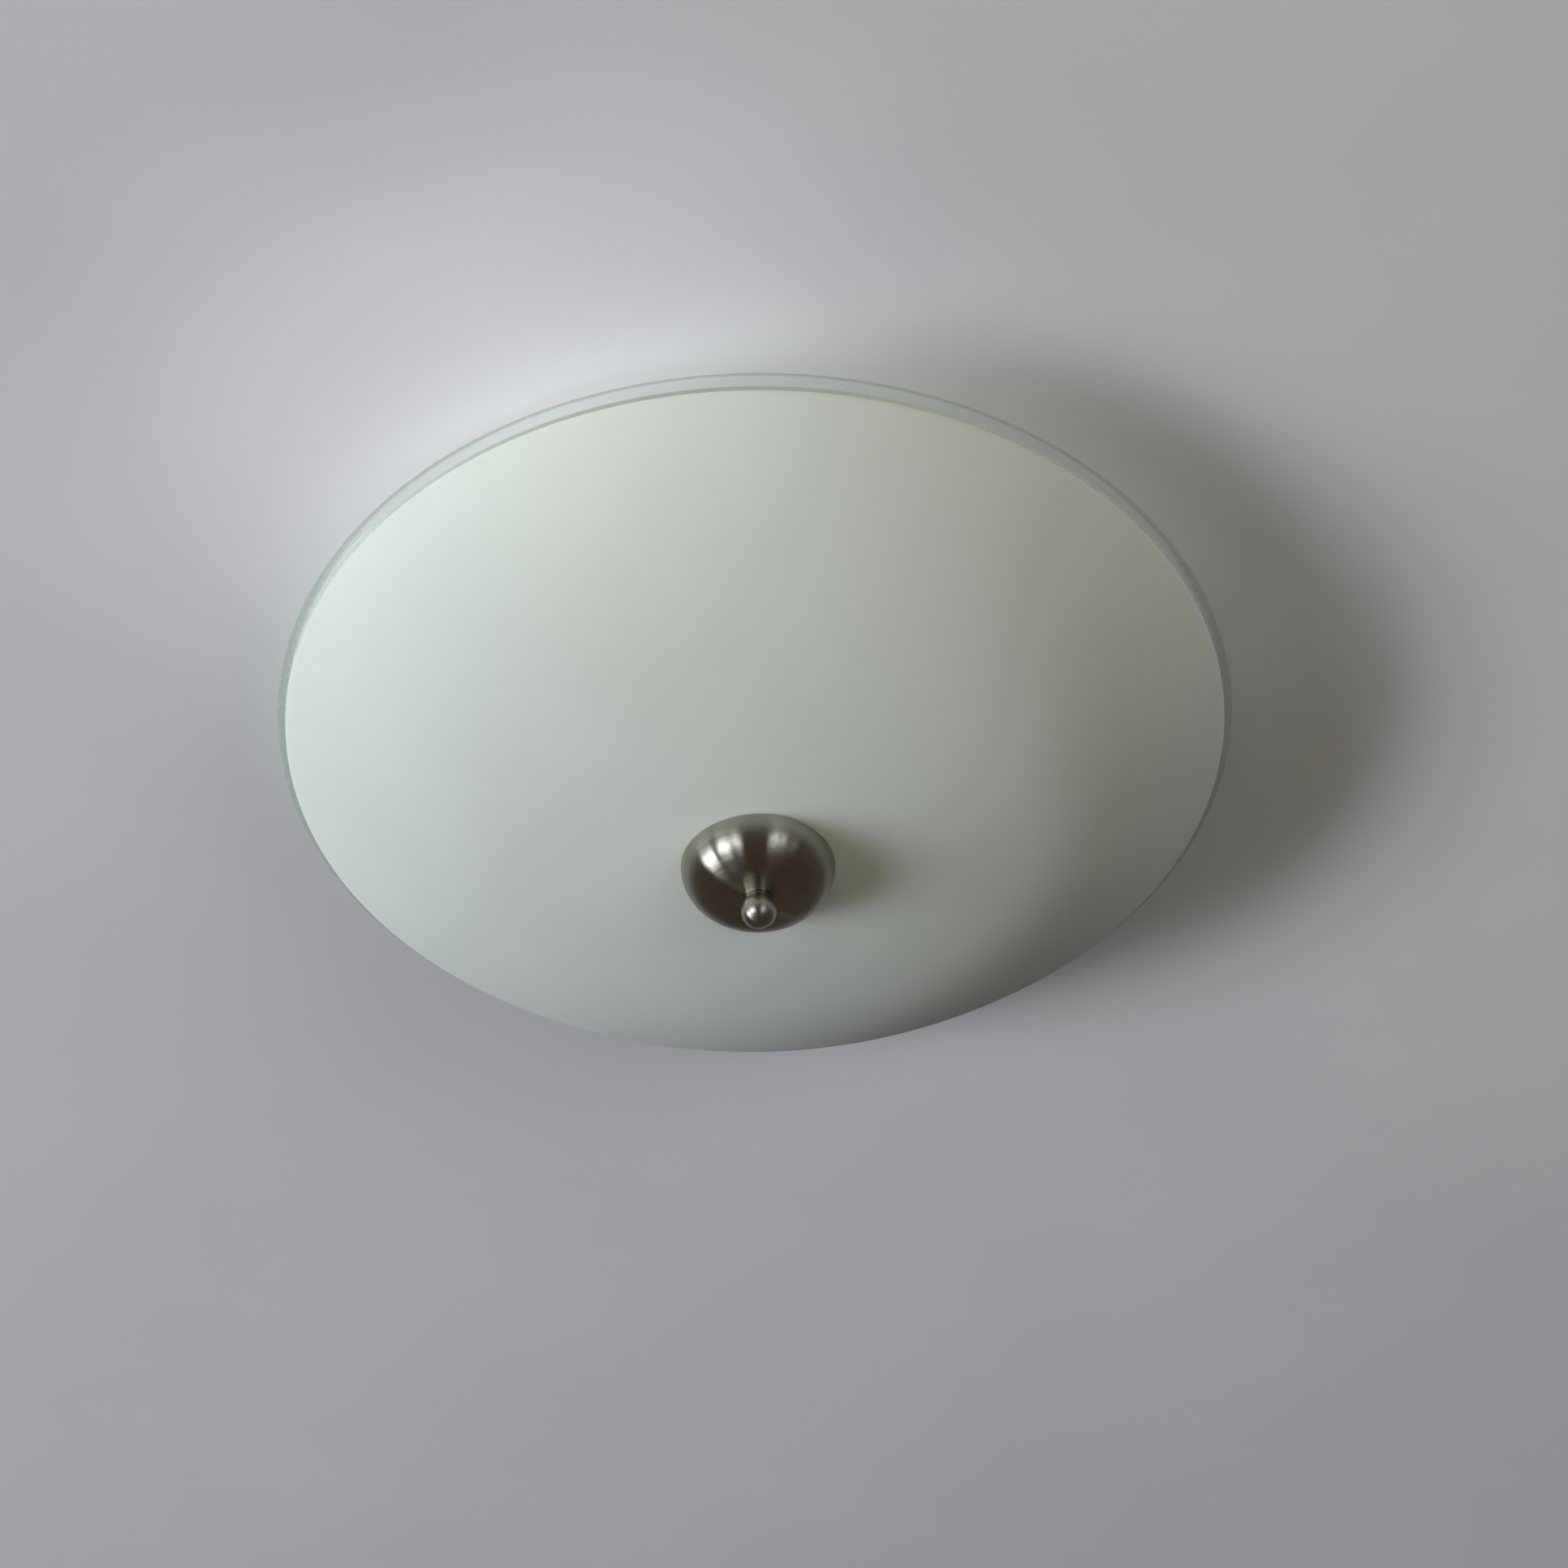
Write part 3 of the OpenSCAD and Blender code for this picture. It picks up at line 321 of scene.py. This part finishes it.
def satin_glass():
    """Acid-etched glass: a pale grey green with a fine grain and faint clouds."""
    m = Nodes("satin_glass")
    m.set(IOR=1.5)
    clouds = m.noise(14, detail=3, roughness=0.55)
    m.wear(Base_Color=m.tones(clouds, (0.665, 0.715, 0.655), (0.69, 0.74, 0.68)),
           Roughness=m.between(m.noise(60, detail=3), 0.62, 0.7),
           Normal=m.bump(m.noise(2600), 0.1, 0.00005))
    return m.material


def clear_glass():
    """Polished glass at the bowl's edge: nearly clear seen straight on, whiter and glossier at the turn.
    What shows through keeps the glass's faint green tint and is painted darker at the turn, a painted shade
    for the dark room seen in the rounded edge.
    """
    m = Nodes("clear_glass")
    m.set(IOR=1.5)
    clouds = m.noise(14, detail=3, roughness=0.55)
    m.wear(Base_Color=m.tones(clouds, (0.66, 0.7, 0.65), (0.68, 0.73, 0.67)),
           Roughness=m.between(m.noise(300), 0.22, 0.3))
    facing = m.tree.nodes.new("ShaderNodeLayerWeight")
    facing.inputs["Blend"].default_value = 0.35
    clear = m.tree.nodes.new("ShaderNodeBsdfTransparent")
    # The glass's own faint green tint, painted darker towards the turn as shade for the dark room seen in
    # the rounded edge
    tint_and_edge_shade = m.ramp(facing.outputs["Facing"], (0.3, (0.98, 0.99, 0.98)), (1.0, (0.84, 0.88, 0.85)))
    m.join(tint_and_edge_shade, clear.inputs["Color"])
    polish = m.spread(facing.outputs["Fresnel"], 0.0, 1.0, 0.06, 0.6)
    m.show_mix(polish, clear.outputs[0], m.shader.outputs[0])
    return m.material


BRUSH_CHANGE = 2.5      # how much the brushed lines change along their way round


def around_axis(m):
    """Radius, angle and height of a point about the Z axis."""
    x, y, z = m.split(m.where)
    radius = m.math("SQRT", m.math("ADD", m.math("MULTIPLY", x, x), m.math("MULTIPLY", y, y)))
    return radius, m.math("ARCTAN2", y, x), z


def turned_nickel(name, dark, light, line_scale, rough_low, rough_high, stretch):
    """Nickel plate with fine lines left by brushing round the axis. stretch draws its highlights out across
    the lines."""
    m = Nodes(name)
    m.set(Metallic=1.0, Anisotropic=stretch, Anisotropic_Rotation=0.25)
    radius, angle, z = around_axis(m)
    place = m.vector(m.math("MULTIPLY", radius, line_scale), m.math("MULTIPLY", z, line_scale),
                     m.math("MULTIPLY", angle, BRUSH_CHANGE))
    lines = m.noise(1.0, detail=3, roughness=0.65, vector=place)
    fine = m.noise(3.1, roughness=0.6, vector=place)
    soft = m.noise(45, detail=3)
    m.wear(Base_Color=m.tones(m.blend(lines, 0.55, soft, 0.45), dark, light),
           Roughness=m.between(m.blend(lines, 0.7, soft, 0.3), rough_low, rough_high),
           Normal=m.bump(fine, 0.5, 0.00003, under=m.bump(lines, 0.7, 0.00006)))
    tangent = m.tree.nodes.new("ShaderNodeTangent")
    tangent.direction_type = "RADIAL"
    tangent.axis = "Z"
    m.join(tangent.outputs[0], m.shader.inputs["Tangent"])
    return m.material


def plain_metal(name, dark, light, rough):
    """Plated or rolled metal with a fine mottle."""
    m = Nodes(name)
    m.set(Metallic=1.0)
    m.wear(Base_Color=m.tones(m.noise(180, detail=4, roughness=0.6), dark, light),
           Roughness=m.between(m.noise(414, detail=3), rough - 0.07, rough + 0.09),
           Normal=m.bump(m.noise(1620), 0.12, 0.00004))
    return m.material


def plain_coat(name, dark, light, rough, grain, depth=0.00008, strength=0.25):
    """Paint, rubber, plastic or ceramic, with a grain of its own."""
    m = Nodes(name)
    m.wear(Base_Color=m.tones(m.noise(35, detail=4, roughness=0.6), dark, light),
           Roughness=m.between(m.noise(160, detail=3), rough - 0.05, rough + 0.07),
           Normal=m.bump(m.noise(grain), strength, depth))
    return m.material


def felt():
    m = Nodes("pressed_felt")
    m.set(Sheen_Weight=0.5, Roughness=0.95)
    fibres = m.noise(2200, detail=5, roughness=0.75, distortion=1.5)
    m.wear(Base_Color=m.tones(fibres, (0.62, 0.61, 0.57), (0.86, 0.85, 0.81)),
           Normal=m.bump(fibres, 0.7, 0.0003))
    return m.material


def insulation(name, dark, light):
    m = Nodes(name)
    m.wear(Base_Color=m.tones(m.noise(90, detail=3), dark, light),
           Roughness=m.between(m.noise(400), 0.34, 0.46),
           Normal=m.bump(m.noise(700), 0.1, 0.00005))
    return m.material


def striped_insulation():
    """Green with a yellow stripe along the lead, from the tube's own UV."""
    m = Nodes("green_yellow")
    uv = m.tree.nodes.new("ShaderNodeUVMap")
    uv.uv_map = "along"
    around = m.split(uv.outputs[0])[1]
    wave = m.math("SINE", m.math("MULTIPLY", around, tau))
    mix = m.tree.nodes.new("ShaderNodeMix")
    mix.data_type = "RGBA"
    m.join(m.math("GREATER_THAN", wave, 0.25), mix.inputs["Factor"])
    mottle = m.noise(90, detail=3)
    m.join(m.tones(mottle, (0.05, 0.22, 0.05), (0.08, 0.3, 0.07)), mix.inputs["A"])
    m.join(m.tones(mottle, (0.7, 0.58, 0.05), (0.8, 0.68, 0.08)), mix.inputs["B"])
    m.wear(Base_Color=mix.outputs["Result"],
           Roughness=m.between(m.noise(400), 0.34, 0.46))
    return m.material


def opal_glass():
    m = Nodes("opal_lamp_glass")
    m.set(Coat_Weight=0.4, Coat_Roughness=0.08)
    m.wear(Base_Color=m.tones(m.noise(25, detail=3), (0.83, 0.83, 0.79), (0.89, 0.89, 0.86)),
           Roughness=m.between(m.noise(140), 0.28, 0.36),
           Normal=m.bump(m.noise(500), 0.06, 0.00005))
    return m.material


# The bowl, in satin glass with a clear edge. A bevel in the glass parts the two.

CLEAR_BAND = 4.2        # width of the clear edge on the outer face
CLEAR_INNER = 2.6       # width of the clear edge under the bevel
CLEAR_DEPTH = 1.2       # depth of the bevel
CLEAR_GAP = 0.03        # between clear and satin glass
BOWL_STEPS = 300        # around the bowl
MIDDLE_STEPS = 28       # from the hole to the shoulder
SHOULDER_STEPS = 40     # from there to the rim
RIM_STEPS = 16          # over the rounded rim


def bowl_face(depth, end):
    """Points at a depth under the bowl's outer face, from its hole out to an angle of the shoulder."""
    radius = CENTRE_R - depth
    middle = arc((0, centre_z), radius, asin(HOLE_R / radius), turn_angle, MIDDLE_STEPS)
    return middle + arc(shoulder, shoulder_r - depth, turn_angle, end, SHOULDER_STEPS)[1:]


def clear_face(depth, width, steps):
    """Points at a depth under the outer face, over a width inwards from the rim, ending at the rim."""
    return arc(shoulder, shoulder_r - depth, rim_angle - width / shoulder_r, rim_angle, steps)


satin_end = rim_angle - (CLEAR_BAND + CLEAR_GAP) / shoulder_r
bevel_end = rim_angle - (CLEAR_INNER + CLEAR_GAP) / shoulder_r
bevel = arc(shoulder, shoulder_r - CLEAR_DEPTH, bevel_end, rim_angle, 1)[:1]
satin_inside = list(reversed(bowl_face(GLASS_T, bevel_end)))
satin = revolve("bowl_of_satin_glass", bowl_face(0, satin_end) + bevel + satin_inside,
                steps=BOWL_STEPS, body="glass", sharp=45)
satin.data.materials.append(satin_glass())

round_rim = arc(rim_mid, GLASS_T / 2, rim_angle, rim_angle + pi, RIM_STEPS)[1:-1]
clear_inside = list(reversed(clear_face(GLASS_T, CLEAR_INNER, 4)))
clear_bevel = clear_face(CLEAR_DEPTH, CLEAR_INNER, 1)[:1]
clear = revolve("clear_edge", clear_face(0, CLEAR_BAND, 8) + round_rim + clear_inside + clear_bevel,
                steps=BOWL_STEPS, body="glass", sharp=30)
clear.data.materials.append(clear_glass())

for piece in (satin, clear):
    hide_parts("glass_bowl")

# The cap: a spun shell with a flat crown, a wide round side and a rolled edge

CAP_HOLE_R = ROD_R + 0.3
CAP_HOLE_BEVEL = 0.15
CAP_ROLL_ANGLE = 0.02   # radians of the side that are left to the rolled edge
CAP_ROLL_STEPS = 8

side_r = CAP_H - CAP_CROWN_RISE
side_centre = (CAP_D / 2 - side_r, cap_rim_z)
crown_r = (side_centre[0] ** 2 + CAP_H ** 2 - side_r ** 2) / (2 * (CAP_H - side_r))
crown_centre = (0, cap_tip_z + crown_r)
crown_angle = asin(side_centre[0] / (crown_r - side_r))
roll_r = CAP_T / 2


def cap_wall(inset):
    """The cap's wall from its hole to its rolled edge, at an inset from the outer face."""
    hole_angle = asin((CAP_HOLE_R + CAP_HOLE_BEVEL) / crown_r)
    crown = arc(crown_centre, crown_r - inset, hole_angle, crown_angle, 16)
    return crown[:-1] + arc(side_centre, side_r - inset, crown_angle, pi / 2 - CAP_ROLL_ANGLE, 60)


cap_roll = []
for k in range(CAP_ROLL_STEPS + 1):
    turned = pi * k / CAP_ROLL_STEPS
    cap_roll.append((CAP_D / 2 - roll_r + roll_r * cos(turned), cap_rim_z + roll_r * (sin(turned) - 1)))
cap_hole = [(CAP_HOLE_R, cap_tip_z + CAP_T), (CAP_HOLE_R, cap_tip_z + CAP_HOLE_BEVEL)]
cap = revolve("cap_shell", cap_wall(0) + cap_roll + list(reversed(cap_wall(CAP_T))) + cap_hole,
              steps=256, body="cap", sharp=45)
cap.data.materials.append(turned_nickel("turned_nickel_cap", (0.35, 0.335, 0.275), (0.52, 0.505, 0.425),
                                        line_scale=1500, rough_low=0.19, rough_high=0.27, stretch=1.0))
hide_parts("glass_cap")

# The knob: ball, crease, short neck and threaded socket with its drill point

KNOB_TOP_GAP = 0.05     # from the cap's tip
NECK_BEVEL = 0.25
SOCKET_PLAY = 0.05      # round the rod
SOCKET_BEVEL = 0.4
SOCKET_ROOM = 0.3       # below the rod's end
SOCKET_POINT_W = 0.8
SOCKET_POINT_H = 0.5

neck_r = NECK_D / 2
neck_top = cap_tip_z - KNOB_TOP_GAP
socket_r = ROD_R + SOCKET_PLAY
socket_z = rod_bottom_z - SOCKET_ROOM
ball = arc((0, ball_z), BALL_D / 2, 0, pi - asin(NECK_D / BALL_D), 40)
neck = [(neck_r, neck_top - NECK_BEVEL), (neck_r - NECK_BEVEL, neck_top)]
socket = [(socket_r + SOCKET_BEVEL, neck_top), (socket_r, neck_top - SOCKET_BEVEL),
          (socket_r, socket_z + SOCKET_POINT_H), (socket_r - SOCKET_POINT_W, socket_z), (0, socket_z)]
knob = revolve("knob_ball", ball + neck + socket, steps=128, body="finial", sharp=35)
knob.data.materials.append(turned_nickel("turned_nickel_knob", (0.38, 0.36, 0.3), (0.5, 0.485, 0.41),
                                         line_scale=2200, rough_low=0.27, rough_high=0.34, stretch=0.6))
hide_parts("ball_knob")

# Materials of the CAD nodes, by the slot that the record gives them

zinc = plain_metal("zinc_plate", (0.5, 0.5, 0.48), (0.66, 0.66, 0.63), 0.34)
MATERIAL_OF = {
    "white_enamel": plain_coat("white_enamel", (0.78, 0.78, 0.76), (0.83, 0.83, 0.81), 0.38,
                               grain=700, depth=0.0001),
    "black_rubber": plain_coat("black_rubber", (0.02, 0.02, 0.02), (0.05, 0.05, 0.05), 0.7, grain=1500),
    "zinc_plate": zinc,
    "white_felt": felt(),
    "white_plastic": plain_coat("white_moulding", (0.74, 0.74, 0.71), (0.8, 0.8, 0.77), 0.3,
                                grain=400, depth=0.00005, strength=0.15),
    "core_ceramic": plain_coat("steatite", (0.62, 0.59, 0.52), (0.74, 0.72, 0.65), 0.6,
                               grain=1800, depth=0.0001, strength=0.4),
    "contact_brass": plain_metal("plain_brass", (0.55, 0.4, 0.17), (0.75, 0.58, 0.28), 0.3),
    "lamp_aluminium": plain_metal("rolled_aluminium", (0.62, 0.62, 0.63), (0.75, 0.75, 0.76), 0.3),
    "black_insulator": plain_coat("black_vitrite", (0.012, 0.012, 0.016), (0.03, 0.03, 0.036), 0.16,
                                  grain=500, strength=0.1),
    "opal_bulb": opal_glass(),
}
for part in frame["record"]["subparts"]:
    node = frame["nodes"][part["node"]]
    look = MATERIAL_OF.get(part["material_slot"])
    if look:
        node.data.materials.clear()
        node.data.materials.append(look)

# Leads, as round tubes on the routes of the CAD leads

LEAD_R = 1.1
LEAD_GAP = 1.25         # from the middle of a hole to each of the two leads in it
POLE_PITCH = 12
BLOCK_AT = 40           # the terminal block's near face
WIRE_HOLE = 7           # depth of the block's lead holes
WIRE_Z = -7             # height of the block's lead holes
NIPPLE_IN = EAR_AT - 9
NIPPLE_OUT = EAR_AT + 7
CORE_X = EAR_AT + 14
CORE_HOLE = 5           # the core's lead holes, from the lamp's axis
CORE_HOLE_DEPTH = 3


def from_block(x):
    """A lead's first points, out of the terminal block."""
    return [(x, BLOCK_AT + WIRE_HOLE - 1, WIRE_Z), (x, BLOCK_AT - 2, WIRE_Z)]


def to_holder(side, turn):
    """A lead's last points, through a nipple into a core. side is the lampholder's and turn the lead's."""
    return [(side * (NIPPLE_IN - 0.5), 1.8, -LAMP_DROP + turn * LEAD_GAP + 0.35),
            (side * (NIPPLE_IN + 5.5), 0.1, -LAMP_DROP + turn * LEAD_GAP),
            (side * (NIPPLE_OUT - 4), turn * 0.1, -LAMP_DROP + turn * LEAD_GAP),
            (side * (NIPPLE_OUT + 1), turn * 1.5, -LAMP_DROP + turn * LEAD_GAP * 0.9),
            (side * (NIPPLE_OUT + 4), turn * 3.6, -LAMP_DROP + turn * LEAD_GAP * 0.4),
            (side * CORE_X, turn * CORE_HOLE, -LAMP_DROP),
            (side * (CORE_X + CORE_HOLE_DEPTH - 0.5), turn * CORE_HOLE, -LAMP_DROP)]


ROUTES = {
    "live_right": from_block(LEAD_GAP - POLE_PITCH)
    + [(-8.5, 30, -10), (-3, 21.5, -17.5), (3.5, 13.5, -26.5), (8.5, 7, -33)] + to_holder(1, 1),
    "neutral_right": from_block(POLE_PITCH + LEAD_GAP)
    + [(13, 29.5, -10.5), (13, 20.5, -19), (12.5, 12.5, -29.5), (12.5, 6, -37.5)] + to_holder(1, -1),
    "live_left": from_block(-POLE_PITCH - LEAD_GAP)
    + [(-13, 29.5, -10.5), (-12.5, 21, -18), (-11, 13, -27), (-11, 6, -34.5)] + to_holder(-1, 1),
    "neutral_left": from_block(POLE_PITCH - LEAD_GAP)
    + [(7.5, 30.5, -12), (1.5, 22.5, -21), (-4.5, 14, -31.5), (-10, 6, -39.5)] + to_holder(-1, -1),
    "earth": [(0, 46, -7), (0, 38, -7), (0, 33, -9), (0, 28.2, -11.7), (0, 24.2, -12.3), (0, 21.6, -12.3)],
}
brown = insulation("brown_pvc", (0.13, 0.06, 0.03), (0.19, 0.09, 0.045))
blue = insulation("blue_pvc", (0.03, 0.12, 0.4), (0.05, 0.18, 0.5))
for name, colour, node, slot in (("live_right", brown, "lead_live", "brown_insulation"),
                                 ("live_left", brown, "lead_live", "brown_insulation"),
                                 ("neutral_right", blue, "lead_neutral", "blue_insulation"),
                                 ("neutral_left", blue, "lead_neutral", "blue_insulation"),
                                 ("earth", striped_insulation(), "lead_earth", "green_insulation")):
    wire = tube("wire_" + name, smooth_route(ROUTES[name], steps=8), LEAD_R, "root")
    wire.data.materials.append(colour)
    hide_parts(node)

# The rod, with its thread

THREAD_ROOT_R = 3.42
THREAD_FLANK_R = 3.72
THREAD_CREST_R = 3.97

bm = bmesh.new()
thread_skin(bm, rod_bottom_z, -ROD_TOP_GAP, ROD_PITCH,
            (THREAD_ROOT_R, THREAD_FLANK_R, THREAD_CREST_R, THREAD_FLANK_R), steps=28)
rod = finish_mesh("rod_thread", bm, "root", sharp=70)
rod.data.materials.append(zinc)
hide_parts("centre_rod")

# The ceiling, a plain disc round the pan

CEILING_R = 1000
CEILING_HOLE_R = 113.5
CEILING_STEPS = 96


def ceiling_paint():
    """Painted plaster seen from below, and nothing seen from above."""
    m = Nodes("ceiling_paint")
    m.wear(Base_Color=m.tones(m.noise(6, detail=3), (0.66, 0.66, 0.685), (0.69, 0.69, 0.71)),
           Normal=m.bump(m.noise(260, detail=3), 0.12, 0.0004))
    m.set(Roughness=0.9)
    from_above = m.tree.nodes.new("ShaderNodeNewGeometry").outputs["Backfacing"]
    nothing = m.tree.nodes.new("ShaderNodeBsdfTransparent").outputs[0]
    m.show_mix(from_above, m.shader.outputs[0], nothing)
    return m.material


bm = bmesh.new()
inner, outer = [[bm.verts.new(on_circle(r, -k / CEILING_STEPS, 0)) for k in range(CEILING_STEPS)]
                for r in (CEILING_HOLE_R, CEILING_R)]
for k in range(CEILING_STEPS):
    n = (k + 1) % CEILING_STEPS
    bm.faces.new((inner[k], outer[k], outer[n], inner[n]))
mesh = bpy.data.meshes.new("ceiling")
bm.to_mesh(mesh)
bm.free()
ceiling = bpy.data.objects.new("ceiling", mesh)
bpy.context.scene.collection.objects.link(ceiling)
ceiling.data.materials.append(ceiling_paint())

# Lights, in metres and watts. Azimuth is measured from -X towards -Y, and elevation from the ceiling.

DAY = (0.87, 0.9, 1.0)
FAR_DAY = (0.91, 0.835, 1.0)
FLOOR_TINT = (1.0, 0.99, 0.4)
INNER_DAY = (0.95, 0.96, 1.0)
GLOW_DAY = (0.96, 0.97, 1.0)
WINDOW_ELEVATION = -26
WINDOW_DISTANCE = 4.5
WINDOW_SIZE = (0.9, 1.1)
SHINE_DISTANCE = 3.0
SHINE_ELEVATION, SHINE_H = -30, 1.0
FAR_SHINE_ELEVATION, FAR_SHINE_H = -28, 1.2


def away(azimuth, elevation=0):
    """The direction outwards at an azimuth and an elevation in degrees."""
    a, e = radians(azimuth), radians(elevation)
    return Vector((-cos(a) * cos(e), -sin(a) * cos(e), sin(e)))


def add_light(name, kind, place, power, colour):
    """A light that neither the camera nor a reflection shows."""
    light = bpy.data.lights.new(name, kind)
    light.energy = power
    light.color = colour
    lamp = bpy.data.objects.new(name, light)
    bpy.context.scene.collection.objects.link(lamp)
    lamp.location = place
    lamp.visible_camera = False
    lamp.visible_glossy = False
    return lamp


def pane(name, azimuth, elevation, distance, size, power, colour):
    """An upright pane of light that faces the axis."""
    place = distance * away(azimuth, elevation)
    lamp = add_light(name, "AREA", place, power, colour)
    lamp.data.shape = "RECTANGLE"
    lamp.data.size, lamp.data.size_y = size
    lamp.rotation_mode = "QUATERNION"
    lamp.rotation_quaternion = Vector((-place.x, -place.y, 0)).to_track_quat("-Z", "Z")
    return lamp


def shine(name, azimuth, elevation, size, power):
    """A pane that only reflections show."""
    lamp = pane(name, azimuth, elevation, SHINE_DISTANCE, size, power, DAY)
    lamp.visible_glossy = True
    lamp.visible_diffuse = False


for name, azimuth, power in (("window_one", -10, 28), ("window_two", 5, 80),
                             ("window_three", 20, 80), ("window_four", 35, 25)):
    pane(name, azimuth, WINDOW_ELEVATION, WINDOW_DISTANCE, WINDOW_SIZE, power, DAY)
pane("far_window", azimuth=130, elevation=-25, distance=4.5, size=(2.0, 2.0), power=54, colour=FAR_DAY)
pane("floor_light", azimuth=90, elevation=-45, distance=3.1, size=(3.0, 3.0), power=17, colour=FLOOR_TINT)
for name, azimuth, width, power in (("shine_one", 7, 1.1, 25), ("shine_two", 37, 0.95, 22),
                                    ("shine_three", 58, 0.5, 9)):
    shine(name, azimuth, SHINE_ELEVATION, (width, SHINE_H), power)
for name, azimuth, width, power in (("far_shine_one", 114, 0.3, 4), ("far_shine_two", 125, 0.3, 4),
                                    ("far_shine_three", 141, 0.2, 1.2)):
    shine(name, azimuth, FAR_SHINE_ELEVATION, (width, FAR_SHINE_H), power)

# Daylight that comes through the glass and leaves over its rim

INNER_OUT = 0.085       # from the axis
INNER_DROP = 0.05       # below the ceiling

for azimuth, power in ((26, 0.03), (52, 0.055), (82, 0.055)):
    place = INNER_OUT * away(azimuth) - Vector((0, 0, INNER_DROP))
    lamp = add_light("inner_light_%d" % azimuth, "POINT", place, power, INNER_DAY)
    lamp.data.shadow_soft_size = 0.015

# The glow on the ceiling beside the bowl

GLOW_OUT = 0.47         # from the axis
GLOW_DROP = 0.7         # below the ceiling
GLOW_AIM = 0.245        # where it meets the ceiling, from the axis
GLOW_WIDTH = 16         # degrees

for azimuth, power in ((30, 2.0), (55, 3.4), (80, 2.8)):
    place = GLOW_OUT * away(azimuth) - Vector((0, 0, GLOW_DROP))
    lamp = add_light("glow_%d" % azimuth, "SPOT", place, power, GLOW_DAY)
    lamp.data.spot_size = radians(GLOW_WIDTH)
    lamp.data.spot_blend = 1
    lamp.data.shadow_soft_size = 0.05
    lamp.rotation_mode = "QUATERNION"
    lamp.rotation_quaternion = (GLOW_AIM * away(azimuth) - place).to_track_quat("-Z", "Y")

# The room: a plain backdrop for the camera, and tones by height for reflections and for all other rays

BACKDROP = (0.42, 0.42, 0.43, 1)

world = bpy.data.worlds.new("room")
world.use_nodes = True
bpy.context.scene.world = world
tree = world.node_tree
coordinate = tree.nodes.new("ShaderNodeTexCoord").outputs["Generated"]
direction = tree.nodes.new("ShaderNodeSeparateXYZ")
tree.links.new(coordinate, direction.inputs[0])
height = tree.nodes.new("ShaderNodeMapRange")
height.inputs["From Min"].default_value = -1
height.inputs["From Max"].default_value = 1
tree.links.new(direction.outputs[2], height.inputs["Value"])
path = tree.nodes.new("ShaderNodeLightPath")


def room_tones(below, low, level, above):
    """Tones of the room by height, from straight down to straight up."""
    ramp = tree.nodes.new("ShaderNodeValToRGB")
    tree.links.new(height.outputs["Result"], ramp.inputs["Fac"])
    elements = ramp.color_ramp.elements
    for element, place, colour in zip((elements[0], elements[1], elements.new(0.3), elements.new(0.5)),
                                      (0.0, 1.0, 0.3, 0.5), (below, above, low, level)):
        element.position = place
        element.color = (*colour, 1)
    return ramp.outputs["Color"]


def room_mix(kind_of_ray, for_others):
    """A mix that gives one colour to a kind of ray and another to all others. Returns its node."""
    node = tree.nodes.new("ShaderNodeMix")
    node.data_type = "RGBA"
    tree.links.new(path.outputs[kind_of_ray], node.inputs["Factor"])
    tree.links.new(for_others, node.inputs["A"])
    return node


shade = room_tones((0.02, 0.017, 0.014), (0.03, 0.027, 0.024), (0.05, 0.048, 0.045), (0.6, 0.6, 0.6))
reflected = room_tones((0.065, 0.048, 0.04), (0.08, 0.063, 0.052), (0.08, 0.075, 0.066), (0.5, 0.5, 0.5))
unseen = room_mix("Is Glossy Ray", shade)
tree.links.new(reflected, unseen.inputs["B"])
seen = room_mix("Is Camera Ray", unseen.outputs["Result"])
seen.inputs["B"].default_value = BACKDROP
tree.links.new(seen.outputs["Result"], tree.nodes["Background"].inputs["Color"])
bpy.context.scene.view_settings.view_transform = "Standard"

# The camera, at the photograph's place

CAMERA_AT = (0.01142, -0.97645, -0.98814)
CAMERA_TILT = 43.778624     # degrees that it looks up from level
CAMERA_ROLL = 1.484783      # degrees
CAMERA_LENS = 74.534
CAMERA_SENSOR = 36

tilt, roll = radians(CAMERA_TILT), radians(CAMERA_ROLL)
level = Vector((1, 0, 0))
back = Vector((0, -cos(tilt), -sin(tilt)))
steep = back.cross(level)
right = cos(roll) * level - sin(roll) * steep
upward = sin(roll) * level + cos(roll) * steep
camera_data = bpy.data.cameras.new("camera")
camera_data.sensor_width = CAMERA_SENSOR
camera_data.lens = CAMERA_LENS
camera = bpy.data.objects.new("camera", camera_data)
bpy.context.scene.collection.objects.link(camera)
camera.matrix_world = Matrix.Translation(CAMERA_AT) @ Matrix((right, upward, back)).transposed().to_4x4()
bpy.context.scene.camera = camera
